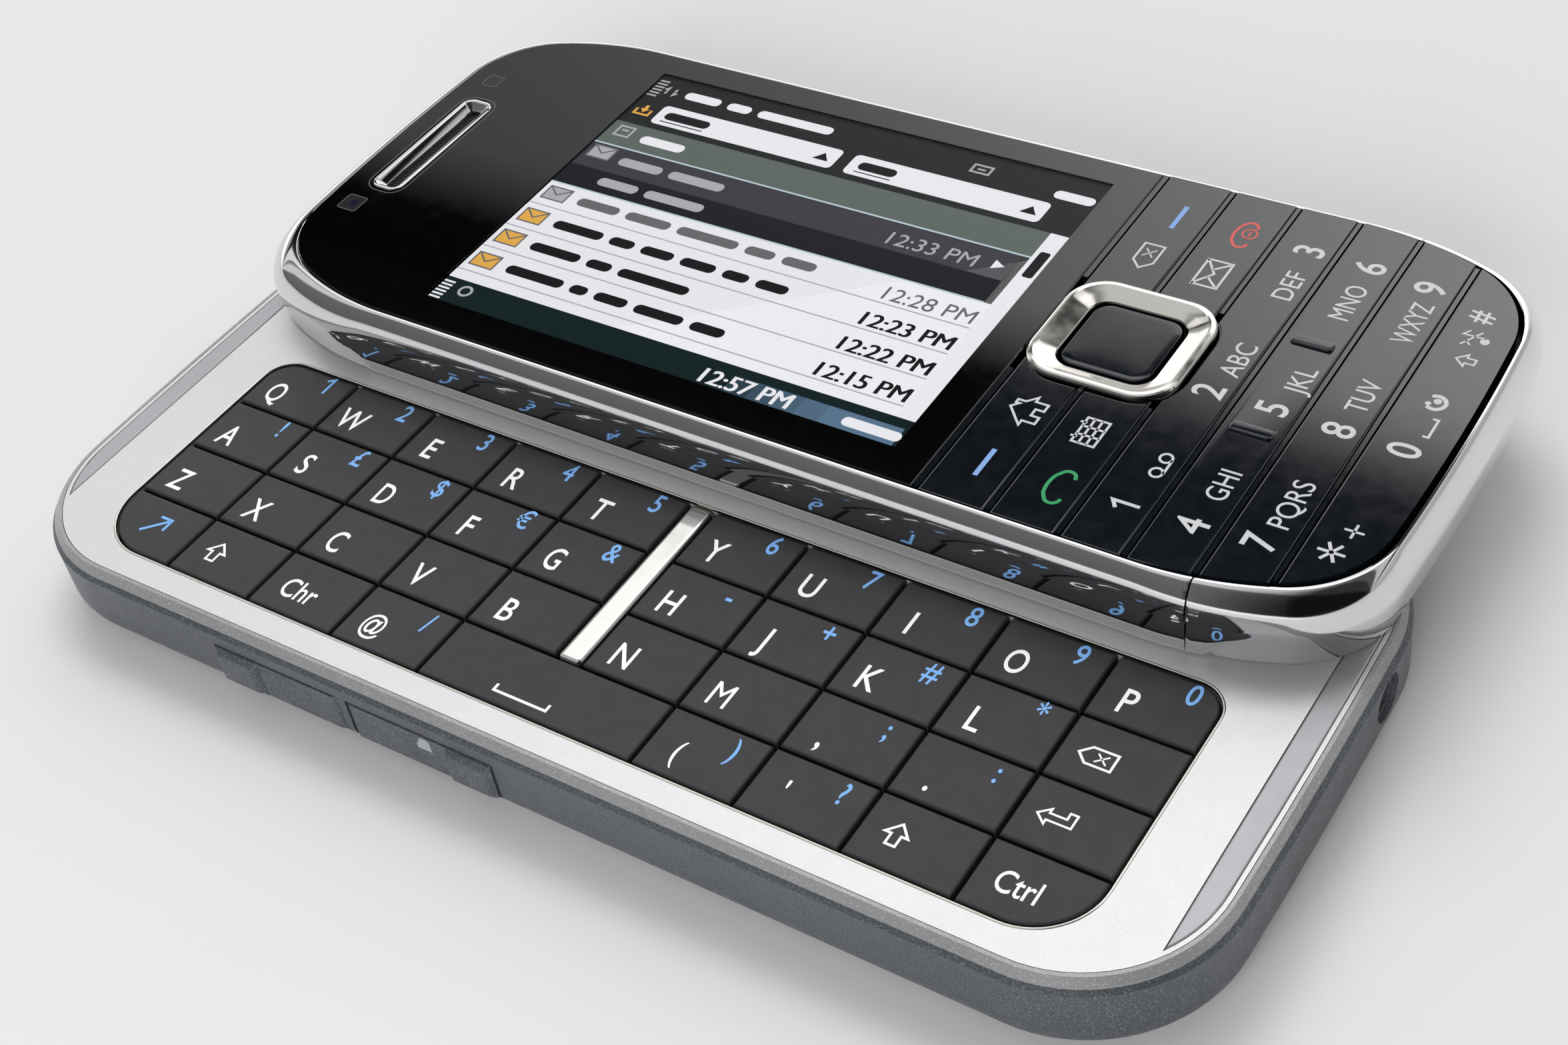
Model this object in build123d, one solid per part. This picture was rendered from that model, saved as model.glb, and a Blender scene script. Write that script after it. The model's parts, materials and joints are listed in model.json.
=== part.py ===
from build123d import *
import os
from math import cos, radians, sin, sqrt, tan

# Slider phone, lying on its back with the slider pushed out over the far long side.
# X runs along the phone: earpiece end at -X, number keypad and charger at +X.
# The letter keyboard is at -Y, Z points up, the origin is the middle of the flat back face.
# All sizes are in millimetres.

# --- base half: outer shape ---
BASE_LENGTH = 110.4
BASE_WIDTH = 50.0
BASE_DEPTH = 7.6            # back face to deck plane
BASE_BOW = 0.5              # how far each end bulges in the middle
BASE_CORNER = 12.4
BACK_ROUND = 2.4            # rounding between the sides and the back
WALL = 1.2
LEDGE = 1.0                 # extra wall thickness below the chassis
FLOOR = 1.6
DECK_THICKNESS = 1.0
RIM_HEIGHT = 0.7
RIM_INSET = 0.35
RIM_WIDTH = 0.8
RIM_BEVEL = 0.5
SEAT_GAP = 0.06             # side clearance of fixed fitted pieces
CUT = 1.0                   # how far cuts run past the faces that they open
SHOULDER_CHAMFER = 0.35     # top outer edge of the housing wall

# --- chassis and keyboard ---
CHASSIS_THICKNESS = 1.5
CHASSIS_FLOOR = 0.4
KEY_COLUMNS = 10
KEY_ROWS = 4
KEYBOARD_END_MARGIN = 8.85  # base end to the first keycap
KEYBOARD_NEAR_MARGIN = 3.65
KEYBOARD_FAR_MARGIN = 1.6   # last row to the opened slider
DIVIDER_WIDTH = 2.4
KEY_GROOVE = 0.34           # groove between two keycaps
KEY_EDGE_ROUND = 0.22
KEY_CORNER_NEAR = 5.5
KEY_CORNER_FAR = 2.6
KEY_TRAVEL = 0.3
KEY_FREE = 0.05             # free play below a fully pressed key
KEY_CLEAR = 0.08            # keycap to deck opening
KEYMAT_THICKNESS = 0.4
BOARD_THICKNESS = 0.45
KEYMAT_MARGIN = 0.9
DIVIDER_CORNER = 0.5
DIVIDER_ROUND = 0.4

# --- deck end strips ---
STRIP_INSET = 3.5           # base end to the strip's inner edge
STRIP_WIDTH = 1.9
STRIP_HALF_LENGTH = 18.6
STRIP_DEPTH = 0.6
STRIP_RAISE = 0.05
STRIP_ROUND = 0.15

# --- back, battery and door ---
DOOR_EDGE = -6.0            # where the battery door begins
DOOR_THICKNESS = 0.8
DOOR_GAP = 0.1
BATTERY_START = 0.5
BATTERY_END_GAP = 0.74      # battery to charger socket
BATTERY_WIDTH = 34.0
BATTERY_ROOF_GAP = 0.25
BATTERY_FLOOR_GAP = 0.15
BATTERY_GAP = 0.3
BATTERY_ROUND = 0.8

# --- loudspeaker, motor, main board and camera ---
SPEAKER_END_GAP = 0.65
SPEAKER_Y = -7.0
SPEAKER_LENGTH = 9.5
SPEAKER_WIDTH = 14.0
SPEAKER_HEIGHT = 2.7
SPEAKER_CORNER = 1.0
SPEAKER_SLOTS = 4
SPEAKER_SLOT_PITCH = 2.0
SPEAKER_SLOT_LENGTH = 5.0
SPEAKER_SLOT_WIDTH = 0.8
MOTOR_Y = 6.5
MOTOR_RADIUS = 4.0
MOTOR_HEIGHT = 2.7
BOARD_START_GAP = 1.85      # loudspeaker to main board
BOARD_END_GAP = 1.3         # main board to card slot
BOARD_NEAR_GAP = 0.78       # port socket to main board
BOARD_FAR_GAP = 0.4         # main board to screw boss
MAIN_BOARD_THICKNESS = 0.8
SHIELD_HEIGHT = 0.95
SHIELD_GAP = 0.15
SHIELD_MARGIN = 1.5
SHIELD_SPACING = 1.0
POST_RADIUS = 1.2
POST_MARGIN = 2.0
CAMERA_OFFSET = 8.0         # main board's left edge to the camera
CAMERA_SIDE = 15.0          # far side of the base to the camera
CAMERA_SIZE = 8.0
CAMERA_WINDOW_RADIUS = 4.6
CAMERA_WINDOW_THICKNESS = 0.7
CAMERA_BARREL_RADIUS = 2.6
WINDOW_SINK = 0.05          # how far the camera window lies below the back face
BACK_GAP = 0.1              # height clearance of small inner pieces
LAMP_OFFSET = 8.5
LAMP_RADIUS = 1.5
SIM_LENGTH = 15.0
SIM_WIDTH = 12.0
SIM_MARGIN = 4.0
SIM_Y = -7.05
SIM_FLOOR_GAP = 0.3
SIM_WALL = 1.1

# --- screws: distances in from the base's end and side ---
SCREW_LEFT_END = 5.7
SCREW_LEFT_SIDE = 7.5
SCREW_FAR_END = 25.2
SCREW_FAR_SIDE = 3.5
SCREW_RIGHT_END = 6.8
SCREW_RIGHT_SIDE = 7.9
SCREW_RADIUS = 0.7
SCREW_HEAD_RADIUS = 1.4
SCREW_HEAD_HEIGHT = 0.7
SCREW_SINK = 0.1            # head below the face it is screwed into
SCREW_TIP_GAP = 0.2
SCREW_CLEAR = 0.05
CROSS_LENGTH = 1.8
CROSS_WIDTH = 0.4
CROSS_DEPTH = 0.35
BOSS_RADIUS = 1.9

# --- sockets and flaps ---
FLAP_HEIGHT = 3.9
FLAP_RIB = 0.8              # wall left between the two flaps
FLAP_RIB_X = -15.5
PORT_FLAP_LENGTH = 13.3
CARD_FLAP_LENGTH = 14.8
FLAP_THICKNESS = 1.0
FLAP_CLEAR = 0.12
FLAP_PROUD = 0.1
TONGUE_LENGTH = 4.6
TONGUE_BULGE = 0.55
TONGUE_SLOPE = 0.5
PORT_WIDTH = 8.0
PORT_LENGTH = 5.8
PORT_HEIGHT = 2.7
PORT_SHELL = 0.35
PORT_TONGUE_INSET = 1.8
PORT_TONGUE_THICKNESS = 0.6
CARD_SLOT_WIDTH = 13.0
CARD_SLOT_LENGTH = 14.5
CARD_SLOT_HEIGHT = 1.7
CARD_SLOT_WALL = 0.8
CARD_MOUTH = 0.9
CHARGER_SIDE = 14.6         # far side of the base to the charger's axis
CHARGER_BORE = 1.2          # radius
CHARGER_PIN = 0.4           # radius
CHARGER_RECESS = 1.95       # radius
CHARGER_RECESS_DEPTH = 0.5
CHARGER_RADIUS = 2.0
CHARGER_LENGTH = 7.2
CHARGER_BACK = 1.0
JACK_SIDE = 9.0             # far side of the base to the headphone socket's axis
JACK_BORE = 1.78            # radius
JACK_RADIUS = 2.4
JACK_LENGTH = 12.0
JACK_BACK = 1.0
JACK_SINK = 0.9             # socket's mouth below the base's end
SOCKET_ROOF_GAP = 0.1

# --- keys in the side walls ---
SIDE_KEY_PROUD = 0.45
SIDE_KEY_ROUND = 0.3
SIDE_KEY_CLEAR = 0.15
SIDE_KEY_FLANGE = 0.5
SIDE_KEY_LIP = 0.6
SIDE_KEY_MARGIN = 0.05      # flange to floor and chassis
SIDE_KEY_SEAT = 0.05        # flange to the wall's inner face
SIDE_KEY_ROOM = 1.0         # free depth behind a key's flange
VOLUME_X = -12.0
VOLUME_LENGTH = 16.0
VOLUME_FLANGE = 6.0         # short, so that the rocker can tilt
VOLUME_SEAT = 0.1
VOLUME_RIB = 0.45           # radius of the rib that the rocker tilts on
CAMERA_KEY_INSET = 22.2     # base end to the middle of the camera key
CAMERA_KEY_LENGTH = 9.0
POWER_KEY_Y = -2.0
POWER_KEY_LENGTH = 6.0

# --- slide ---
SLIDE_OVERLAP = 19.9        # width that the opened slider still lies over the base
SLIDE_GAP = 0.25            # deck to the slider's underside
SHOE_X = 34.0
SHOE_SIDE = 11.0            # far side of the base to the middle of a shoe
SHOE_LENGTH = 10.0
SHOE_STEM = 2.0
SHOE_HEAD = 4.4
SHOE_HEAD_HEIGHT = 0.7
SHOE_CLEAR = 0.1
TRACK_END_GAP = 0.3
TRACK_ROOF_GAP = 0.15

# --- slider half: outline, set back from the base's, and heights above its underside ---
SLIDER_SETBACK_LEFT = 0.8
SLIDER_SETBACK_RIGHT = 0.6
SLIDER_SETBACK_SIDE = 1.9
SHOULDER_SETBACK = 11.5
SHOULDER_ANGLE = 20.0
SHOULDER_RADIUS = 28.0
SLIDER_CORNER = 9.0
SLIDER_END_RADIUS = 226.0
FRAME_HEIGHT = 6.35
CREASE_HEIGHT = 3.25        # widest line of the frame
FRAME_LEFT_WIDTH = 2.75     # frame's width seen from above, at its left end
FRAME_SIDE_WIDTH = 1.5
FRAME_RIGHT_WIDTH = 1.2
FRAME_TUCK = 0.45           # how far the underside edge lies inside the widest line
FRAME_CROWN = [(0.0, 0.0), (0.10, 0.33), (0.28, 0.6), (0.52, 0.8), (0.80, 0.94), (1.0, 1.0)]
SEAM_GAP = 0.12
PLATE_THICKNESS = 0.5
SLIDER_FLOOR = 2.5          # top of the slider chassis floor
CHASSIS_WALL = 0.8
WINDOW_TOP = 6.5
WINDOW_THICKNESS = 1.1
WINDOW_GAP = 0.1
WINDOW_EDGE = 0.12

# --- number keypad ---
PAD_WIDTHS = [5.67, 5.42, 4.84, 4.87, 4.80, 5.74]
PAD_GAP = 0.52
PAD_SETBACK = 1.7           # last strip to the slider's end
PAD_SIDE_CLEAR = 0.12
PAD_TRAVEL = 0.25
PAD_FREE = 0.1
PAD_BOARD_THICKNESS = 0.6
PAD_EDGE_ROUND = 0.2
RING_OFFSET = 0.43          # ring's middle from the middle of the first two strips
RING_LENGTH = 13.2
RING_WIDTH = 12.6
RING_CORNER = 4.0
RING_PROUD = 0.55
RING_ROUND = 0.5
RING_GAP = 0.25
SELECT_LENGTH = 8.0
SELECT_WIDTH = 8.1
SELECT_CORNER = 2.5
SELECT_SINK = 0.15
SELECT_ROUND = 0.3
RIDGE_Y = 5.6
RIDGE_LENGTH = 3.5
RIDGE_WIDTH = 1.1
RIDGE_HEIGHT = 0.25
RIDGE_ROOT = 0.2

# --- display and earpiece ---
DISPLAY_END_GAP = 3.95      # display to the window's end
DISPLAY_EAR_GAP = 12.8      # earpiece to the display
DISPLAY_NEAR_GAP = 4.25     # frame's inner edge to the display
DISPLAY_FAR_GAP = 2.45
DISPLAY_BORDER = 1.4
DISPLAY_CORNER = 0.6
DISPLAY_THICKNESS = 2.6
LENS_MARGIN = 0.9
LENS_GAP = 0.02
EAR_SETBACK = 7.2           # slider's left end to the earpiece
EAR_Y = 0.4
EAR_LENGTH = 15.4
EAR_WIDTH = 3.6
EAR_SLOT_LENGTH = 12.6
EAR_SLOT_WIDTH = 1.2
EAR_ROUND = 0.3
EAR_FLOOR = 0.4
EAR_PROUD = 0.1
CAPSULE_HEIGHT = 2.7
CAPSULE_CORNER = 1.2
SELFIE_SETBACK = 6.1
SELFIE_Y = -10.1
SELFIE_RADIUS = 1.4

# --- outline of the slider and its travel, which follow from the base ---
SLIDER_LEFT = BASE_LENGTH / 2 - SLIDER_SETBACK_LEFT
SLIDER_RIGHT = BASE_LENGTH / 2 - SLIDER_SETBACK_RIGHT
SLIDER_HALF_WIDTH = BASE_WIDTH / 2 - SLIDER_SETBACK_SIDE
OPEN_EDGE = BASE_WIDTH / 2 - SLIDE_OVERLAP
TRAVEL = OPEN_EDGE + SLIDER_HALF_WIDTH
SHOE_Y = BASE_WIDTH / 2 - SHOE_SIDE

# --- keyboard grid, which fills the room that the slider leaves ---
GRID_HALF_X = BASE_LENGTH / 2 - KEYBOARD_END_MARGIN
KEY_PITCH_X = (2 * GRID_HALF_X - DIVIDER_WIDTH) / KEY_COLUMNS
GRID_NEAR = KEYBOARD_NEAR_MARGIN - BASE_WIDTH / 2
GRID_FAR = OPEN_EDGE - KEYBOARD_FAR_MARGIN
GRID_HALF_Y = (GRID_FAR - GRID_NEAR) / 2
KEYBOARD_Y = (GRID_FAR + GRID_NEAR) / 2
KEY_PITCH_Y = 2 * GRID_HALF_Y / KEY_ROWS

# --- heights that follow ---
DECK_BOTTOM = BASE_DEPTH - DECK_THICKNESS
CHASSIS_BOTTOM = DECK_BOTTOM - CHASSIS_THICKNESS
RIM_SEAT = BASE_DEPTH - RIM_HEIGHT
KEYMAT_TOP = CHASSIS_BOTTOM + CHASSIS_FLOOR + BOARD_THICKNESS + KEYMAT_THICKNESS
KEY_BOTTOM = KEYMAT_TOP + KEY_TRAVEL + KEY_FREE
FLAP_BOTTOM = FLOOR
FLAP_TOP = FLAP_BOTTOM + FLAP_HEIGHT
DOOR_ROOF = DOOR_THICKNESS + DOOR_GAP
BATTERY_BOTTOM = DOOR_THICKNESS + BATTERY_FLOOR_GAP
BATTERY_TOP = CHASSIS_BOTTOM - BATTERY_ROOF_GAP
SHIELD_TOP = CHASSIS_BOTTOM - SHIELD_GAP
MAIN_BOARD_TOP = SHIELD_TOP - SHIELD_HEIGHT
MAIN_BOARD_Z = MAIN_BOARD_TOP - MAIN_BOARD_THICKNESS
SIM_BOTTOM = FLOOR + SIM_FLOOR_GAP
SIDE_KEY_Z = (FLOOR + CHASSIS_BOTTOM) / 2
SIDE_KEY_HEIGHT = CHASSIS_BOTTOM - FLOOR - 2 * (SIDE_KEY_LIP + SIDE_KEY_MARGIN)
JACK_Z = DECK_BOTTOM - JACK_RADIUS - SOCKET_ROOF_GAP
CHARGER_Z = DECK_BOTTOM - CHARGER_RADIUS - SOCKET_ROOF_GAP
UNDERSIDE = BASE_DEPTH + SLIDE_GAP
PLATE_TOP = UNDERSIDE + PLATE_THICKNESS
SHOE_HEAD_BOTTOM = PLATE_TOP + SHOE_CLEAR
SHOE_TOP = SHOE_HEAD_BOTTOM + SHOE_HEAD_HEIGHT
FRAME_TOP = UNDERSIDE + FRAME_HEIGHT
FACE_TOP = UNDERSIDE + WINDOW_TOP
FACE_BOTTOM = FACE_TOP - WINDOW_THICKNESS
CHASSIS_FLOOR_TOP = UNDERSIDE + SLIDER_FLOOR
PAD_BOARD_TOP = CHASSIS_FLOOR_TOP + PAD_BOARD_THICKNESS
PAD_BOTTOM = PAD_BOARD_TOP + PAD_TRAVEL + PAD_FREE

# --- places inside the base that follow ---
CHARGER_MOUTH = BASE_LENGTH / 2 - WALL - LEDGE - SEAT_GAP - BASE_BOW
BATTERY_END = CHARGER_MOUTH - CHARGER_LENGTH - BATTERY_END_GAP
CHARGER_Y = BASE_WIDTH / 2 - CHARGER_SIDE
JACK_Y = BASE_WIDTH / 2 - JACK_SIDE
SPEAKER_X = WALL + LEDGE + SPEAKER_END_GAP + SPEAKER_LENGTH / 2 - BASE_LENGTH / 2
CARD_SLOT_X = FLAP_RIB_X + (FLAP_RIB + CARD_FLAP_LENGTH) / 2
PORT_X = FLAP_RIB_X - (FLAP_RIB + PORT_FLAP_LENGTH) / 2
SOCKET_MOUTH = FLAP_THICKNESS + FLAP_CLEAR - BASE_WIDTH / 2
BOARD_LEFT = SPEAKER_X + SPEAKER_LENGTH / 2 + BOARD_START_GAP
BOARD_RIGHT = CARD_SLOT_X - CARD_SLOT_WIDTH / 2 - BOARD_END_GAP
BOARD_NEAR = SOCKET_MOUTH + PORT_LENGTH + BOARD_NEAR_GAP
BOARD_FAR = BASE_WIDTH / 2 - SCREW_FAR_SIDE - BOSS_RADIUS - BOARD_FAR_GAP
CAMERA_X = BOARD_LEFT + CAMERA_OFFSET
CAMERA_Y = BASE_WIDTH / 2 - CAMERA_SIDE
CAMERA_KEY_X = BASE_LENGTH / 2 - CAMERA_KEY_INSET
SCREW_PLACES = [
    (SCREW_LEFT_END - BASE_LENGTH / 2, SCREW_LEFT_SIDE - BASE_WIDTH / 2),
    (SCREW_FAR_END - BASE_LENGTH / 2, BASE_WIDTH / 2 - SCREW_FAR_SIDE),
    (BASE_LENGTH / 2 - SCREW_RIGHT_END, SCREW_RIGHT_SIDE - BASE_WIDTH / 2),
    (BASE_LENGTH / 2 - SCREW_RIGHT_END, BASE_WIDTH / 2 - SCREW_RIGHT_SIDE),
]

# --- places on the slider that follow, counted from its right end ---
PAD_END = SLIDER_RIGHT - PAD_SETBACK
PAD_STARTS = [PAD_END - sum(PAD_WIDTHS[i:]) - PAD_GAP * len(PAD_WIDTHS[i + 1:]) for i in range(len(PAD_WIDTHS))]
RING_X = (PAD_STARTS[0] + PAD_STARTS[2] - PAD_GAP) / 2 + RING_OFFSET
WINDOW_END = RING_X - RING_LENGTH / 2 - RING_GAP
SEAM_X = PAD_STARTS[4] - PAD_GAP / 2
EAR_X = EAR_SETBACK - SLIDER_LEFT
DISPLAY_LENGTH = WINDOW_END - DISPLAY_END_GAP - EAR_X - DISPLAY_EAR_GAP
DISPLAY_X = WINDOW_END - DISPLAY_END_GAP - DISPLAY_LENGTH / 2
DISPLAY_WIDTH = 2 * (SLIDER_HALF_WIDTH - FRAME_SIDE_WIDTH) - DISPLAY_NEAR_GAP - DISPLAY_FAR_GAP
DISPLAY_Y = (DISPLAY_NEAR_GAP - DISPLAY_FAR_GAP) / 2
SELFIE_X = SELFIE_SETBACK - SLIDER_LEFT


def block(x0, x1, y0, y1, z0, z1):
    """Box between two corners."""
    middle = Pos((x0 + x1) / 2, (y0 + y1) / 2, (z0 + z1) / 2)
    return middle * Box(x1 - x0, y1 - y0, z1 - z0)


def prism(face, z0, z1):
    """A flat outline made solid between two heights."""
    return Pos(0, 0, z0) * extrude(face, z1 - z0)


def rod(x, y, z0, z1, radius):
    """Upright cylinder."""
    return Pos(x, y, (z0 + z1) / 2) * Cylinder(radius, z1 - z0)


def rod_x(x0, x1, y, z, radius):
    """Cylinder that lies along X."""
    return Pos((x0 + x1) / 2, y, z) * Rot(0, 90, 0) * Cylinder(radius, x1 - x0)


def base_outline(inset=0.0):
    """Plan outline of the base: straight sides, bowed ends, round corners."""
    half_width = BASE_WIDTH / 2
    bow_radius = (half_width ** 2 + BASE_BOW ** 2) / (2 * BASE_BOW)
    centre = BASE_LENGTH / 2 - bow_radius
    radius = bow_radius - inset
    y = half_width - inset
    x = centre + sqrt(radius ** 2 - y ** 2)
    apex = BASE_LENGTH / 2 - inset
    with BuildSketch() as sketch:
        with BuildLine():
            Line((-x, y), (x, y))
            ThreePointArc((x, y), (apex, 0), (x, -y))
            Line((x, -y), (-x, -y))
            ThreePointArc((-x, -y), (-apex, 0), (-x, y))
        make_face()
        fillet(sketch.vertices(), BASE_CORNER - inset)
    return sketch.sketch


def shoulder_and_corner(reach, half_width, inset):
    """Corner points at one end: where the side starts to close in, and where it meets the end."""
    angle = radians(SHOULDER_ANGLE)
    x = reach - SHOULDER_SETBACK - inset * tan(angle / 2)
    y = half_width - inset
    centre = reach - SLIDER_END_RADIUS
    radius = SLIDER_END_RADIUS - inset
    offset = x - centre
    half = offset * cos(angle) - y * sin(angle)
    run = -half + sqrt(half ** 2 - offset ** 2 - y ** 2 + radius ** 2)
    return (x, y), (x + run * cos(angle), y - run * sin(angle))


def slider_outline(left, right, half_width, inset=0.0):
    """Plan outline of the slider: sides that close in towards softly bowed ends."""
    shoulder_r, corner_r = shoulder_and_corner(right, half_width, inset)
    shoulder_l, corner_l = shoulder_and_corner(left, half_width, inset)
    shoulder_l = (-shoulder_l[0], shoulder_l[1])
    corner_l = (-corner_l[0], corner_l[1])
    top = [corner_l, shoulder_l, shoulder_r, corner_r]
    bottom = [(x, -y) for x, y in reversed(top)]
    with BuildSketch() as sketch:
        with BuildLine():
            Polyline(*top)
            ThreePointArc(corner_r, (right - inset, 0), bottom[0])
            Polyline(*bottom)
            ThreePointArc(bottom[-1], (inset - left, 0), corner_l)
        make_face()
        shoulders = [v for v in sketch.vertices() if abs(abs(v.Y) - shoulder_r[1]) < 0.001]
        fillet(shoulders, SHOULDER_RADIUS - inset)
        corner_x = min(corner_r[0], -corner_l[0]) - 0.001
        corners = [v for v in sketch.vertices() if abs(v.X) > corner_x]
        fillet(corners, SLIDER_CORNER - inset)
    return sketch.sketch


def window_outline(inset=0.0):
    """Inner edge of the chrome frame, which everything inside the slider follows."""
    left = SLIDER_LEFT - FRAME_LEFT_WIDTH
    right = SLIDER_RIGHT - FRAME_RIGHT_WIDTH
    return slider_outline(left, right, SLIDER_HALF_WIDTH - FRAME_SIDE_WIDTH, inset)


def at_slider(shape):
    """Moves a slider piece from the closed place to the opened one."""
    return Pos(0, TRAVEL, 0) * shape


def key_left(column):
    """Left edge of a keyboard column; the right five stand beyond the divider."""
    step = DIVIDER_WIDTH if column >= KEY_COLUMNS // 2 else 0
    return -GRID_HALF_X + column * KEY_PITCH_X + step


def keyboard_outline(inset=0.0):
    """Opening of the keyboard, with rounder corners on the near side."""
    with BuildSketch() as sketch:
        with Locations((0, KEYBOARD_Y)):
            Rectangle(2 * (GRID_HALF_X - inset), 2 * (GRID_HALF_Y - inset))
        near = [v for v in sketch.vertices() if v.Y < KEYBOARD_Y]
        fillet(near, KEY_CORNER_NEAR - inset)
        far = [v for v in sketch.vertices() if v.Y > KEYBOARD_Y + GRID_HALF_Y - inset - 0.001]
        fillet(far, KEY_CORNER_FAR - inset)
    return sketch.sketch


def keycap(row, first, last=None):
    """Keycap in one row that covers the columns first to last."""
    last = first if last is None else last
    gap = KEY_GROOVE / 2
    x0 = key_left(first) + gap
    x1 = key_left(last) + KEY_PITCH_X - gap
    y1 = KEYBOARD_Y + GRID_HALF_Y - row * KEY_PITCH_Y - gap
    y0 = y1 - KEY_PITCH_Y + KEY_GROOVE
    blank = block(x0, x1, y0, y1, KEY_BOTTOM, BASE_DEPTH)
    cap = blank & prism(keyboard_outline(gap), KEY_BOTTOM, BASE_DEPTH)
    return fillet(cap.edges().group_by(Axis.Z)[-1], KEY_EDGE_ROUND)


def keys(*places):
    """A bank of separate keycaps."""
    return Compound([keycap(*place).solid() for place in places])


# ---------------------------------------------------------------- base half

def base_body():
    """Outer form of the base up to the rim's seat, housing and battery door together."""
    body = prism(base_outline(), 0, RIM_SEAT)
    body = fillet(body.edges().group_by(Axis.Z)[0], BACK_ROUND)
    return chamfer(body.faces().sort_by(Axis.Z)[-1].edges(), SHOULDER_CHAMFER)


def door_space(gap=0.0):
    """Room of the battery door at the back of the base."""
    far = BASE_LENGTH
    return block(DOOR_EDGE + gap, far, -far, far, -CUT, DOOR_ROOF - gap)


def wall_inner_y():
    return BASE_WIDTH / 2 - WALL


def flap_range(side):
    """X range of a flap's opening: side -1 is the port flap, +1 the card flap."""
    edge = FLAP_RIB_X + side * FLAP_RIB / 2
    length = PORT_FLAP_LENGTH if side < 0 else CARD_FLAP_LENGTH
    return sorted((edge, edge + side * length))


def side_key_hole(x, length, clear=SIDE_KEY_CLEAR):
    """Hole in the far wall for a side key."""
    half = length / 2 + clear
    height = SIDE_KEY_HEIGHT / 2 + clear
    y = BASE_WIDTH / 2
    return block(x - half, x + half, y - WALL - LEDGE, y + CUT, SIDE_KEY_Z - height, SIDE_KEY_Z + height)


def side_key_pocket(x, length):
    """Room inside the thick wall for a side key's flange and travel."""
    half = length / 2 + SIDE_KEY_LIP + SIDE_KEY_CLEAR
    height = SIDE_KEY_HEIGHT / 2 + SIDE_KEY_LIP + SIDE_KEY_CLEAR
    y = wall_inner_y()
    return block(x - half, x + half, y - LEDGE - SIDE_KEY_ROOM, y, SIDE_KEY_Z - height, SIDE_KEY_Z + height)


def end_key_hole():
    """Hole and inner pocket for the power key in the left end wall."""
    half = POWER_KEY_LENGTH / 2 + SIDE_KEY_CLEAR
    height = SIDE_KEY_HEIGHT / 2 + SIDE_KEY_CLEAR
    x = -BASE_LENGTH / 2
    inner = x + WALL + LEDGE + SIDE_KEY_ROOM
    hole = block(x - CUT, inner, POWER_KEY_Y - half, POWER_KEY_Y + half,
                 SIDE_KEY_Z - height, SIDE_KEY_Z + height)
    lip = SIDE_KEY_LIP
    pocket = block(x + WALL + LEDGE / 2, inner,
                   POWER_KEY_Y - half - lip, POWER_KEY_Y + half + lip,
                   SIDE_KEY_Z - height - lip, SIDE_KEY_Z + height + lip)
    return hole + pocket


def base_housing():
    body = base_body()
    body -= prism(base_outline(WALL + LEDGE), FLOOR, CHASSIS_BOTTOM)
    body -= prism(base_outline(WALL), CHASSIS_BOTTOM, BASE_DEPTH)
    for x, y in SCREW_PLACES:
        body += rod(x, y, FLOOR, CHASSIS_BOTTOM, BOSS_RADIUS)
    for x in (BOARD_LEFT + POST_MARGIN, BOARD_RIGHT - POST_MARGIN):
        for y in (BOARD_NEAR + POST_MARGIN, BOARD_FAR - POST_MARGIN):
            body += rod(x, y, FLOOR, MAIN_BOARD_Z, POST_RADIUS)
    body -= door_space()
    body -= battery_block(BATTERY_GAP, -CUT, CHASSIS_BOTTOM)
    for x, y in SCREW_PLACES:
        body -= rod(x, y, -CUT, BASE_DEPTH, SCREW_RADIUS + SCREW_CLEAR)
        body -= rod(x, y, -CUT, screw_head_top(x) + SCREW_CLEAR, SCREW_HEAD_RADIUS + SCREW_CLEAR)
    for side in (-1, 1):
        x0, x1 = flap_range(side)
        near = BASE_WIDTH / 2
        body -= block(x0, x1, -near - CUT, -near + WALL + LEDGE, FLAP_BOTTOM, FLAP_TOP)
    body -= side_key_hole(VOLUME_X, VOLUME_LENGTH) + side_key_pocket(VOLUME_X, VOLUME_LENGTH)
    body -= side_key_hole(CAMERA_KEY_X, CAMERA_KEY_LENGTH) + side_key_pocket(CAMERA_KEY_X, CAMERA_KEY_LENGTH)
    body -= end_key_hole()
    end = BASE_LENGTH / 2
    body -= rod_x(end - CHARGER_RECESS_DEPTH, end + CUT, CHARGER_Y, CHARGER_Z, CHARGER_RECESS)
    body -= rod_x(CHARGER_MOUTH - CUT, end + CUT, CHARGER_Y, CHARGER_Z, CHARGER_BORE + SEAT_GAP)
    body -= rod_x(-end - CUT, JACK_LENGTH - end, JACK_Y, JACK_Z, JACK_RADIUS + SEAT_GAP)
    window_seat = CAMERA_WINDOW_THICKNESS + SEAT_GAP
    body -= rod(CAMERA_X, CAMERA_Y, -CUT, window_seat, CAMERA_WINDOW_RADIUS + SEAT_GAP)
    body -= rod(CAMERA_X, CAMERA_Y, -CUT, FLOOR + CUT, CAMERA_BARREL_RADIUS + SEAT_GAP)
    body -= rod(CAMERA_X + LAMP_OFFSET, CAMERA_Y, -CUT, window_seat, LAMP_RADIUS + SEAT_GAP)
    for i in range(SPEAKER_SLOTS):
        y = SPEAKER_Y + (i - (SPEAKER_SLOTS - 1) / 2) * SPEAKER_SLOT_PITCH
        long_half = SPEAKER_SLOT_LENGTH / 2
        half = SPEAKER_SLOT_WIDTH / 2
        body -= block(SPEAKER_X - long_half, SPEAKER_X + long_half, y - half, y + half, -CUT, FLOOR + CUT)
    return body


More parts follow.
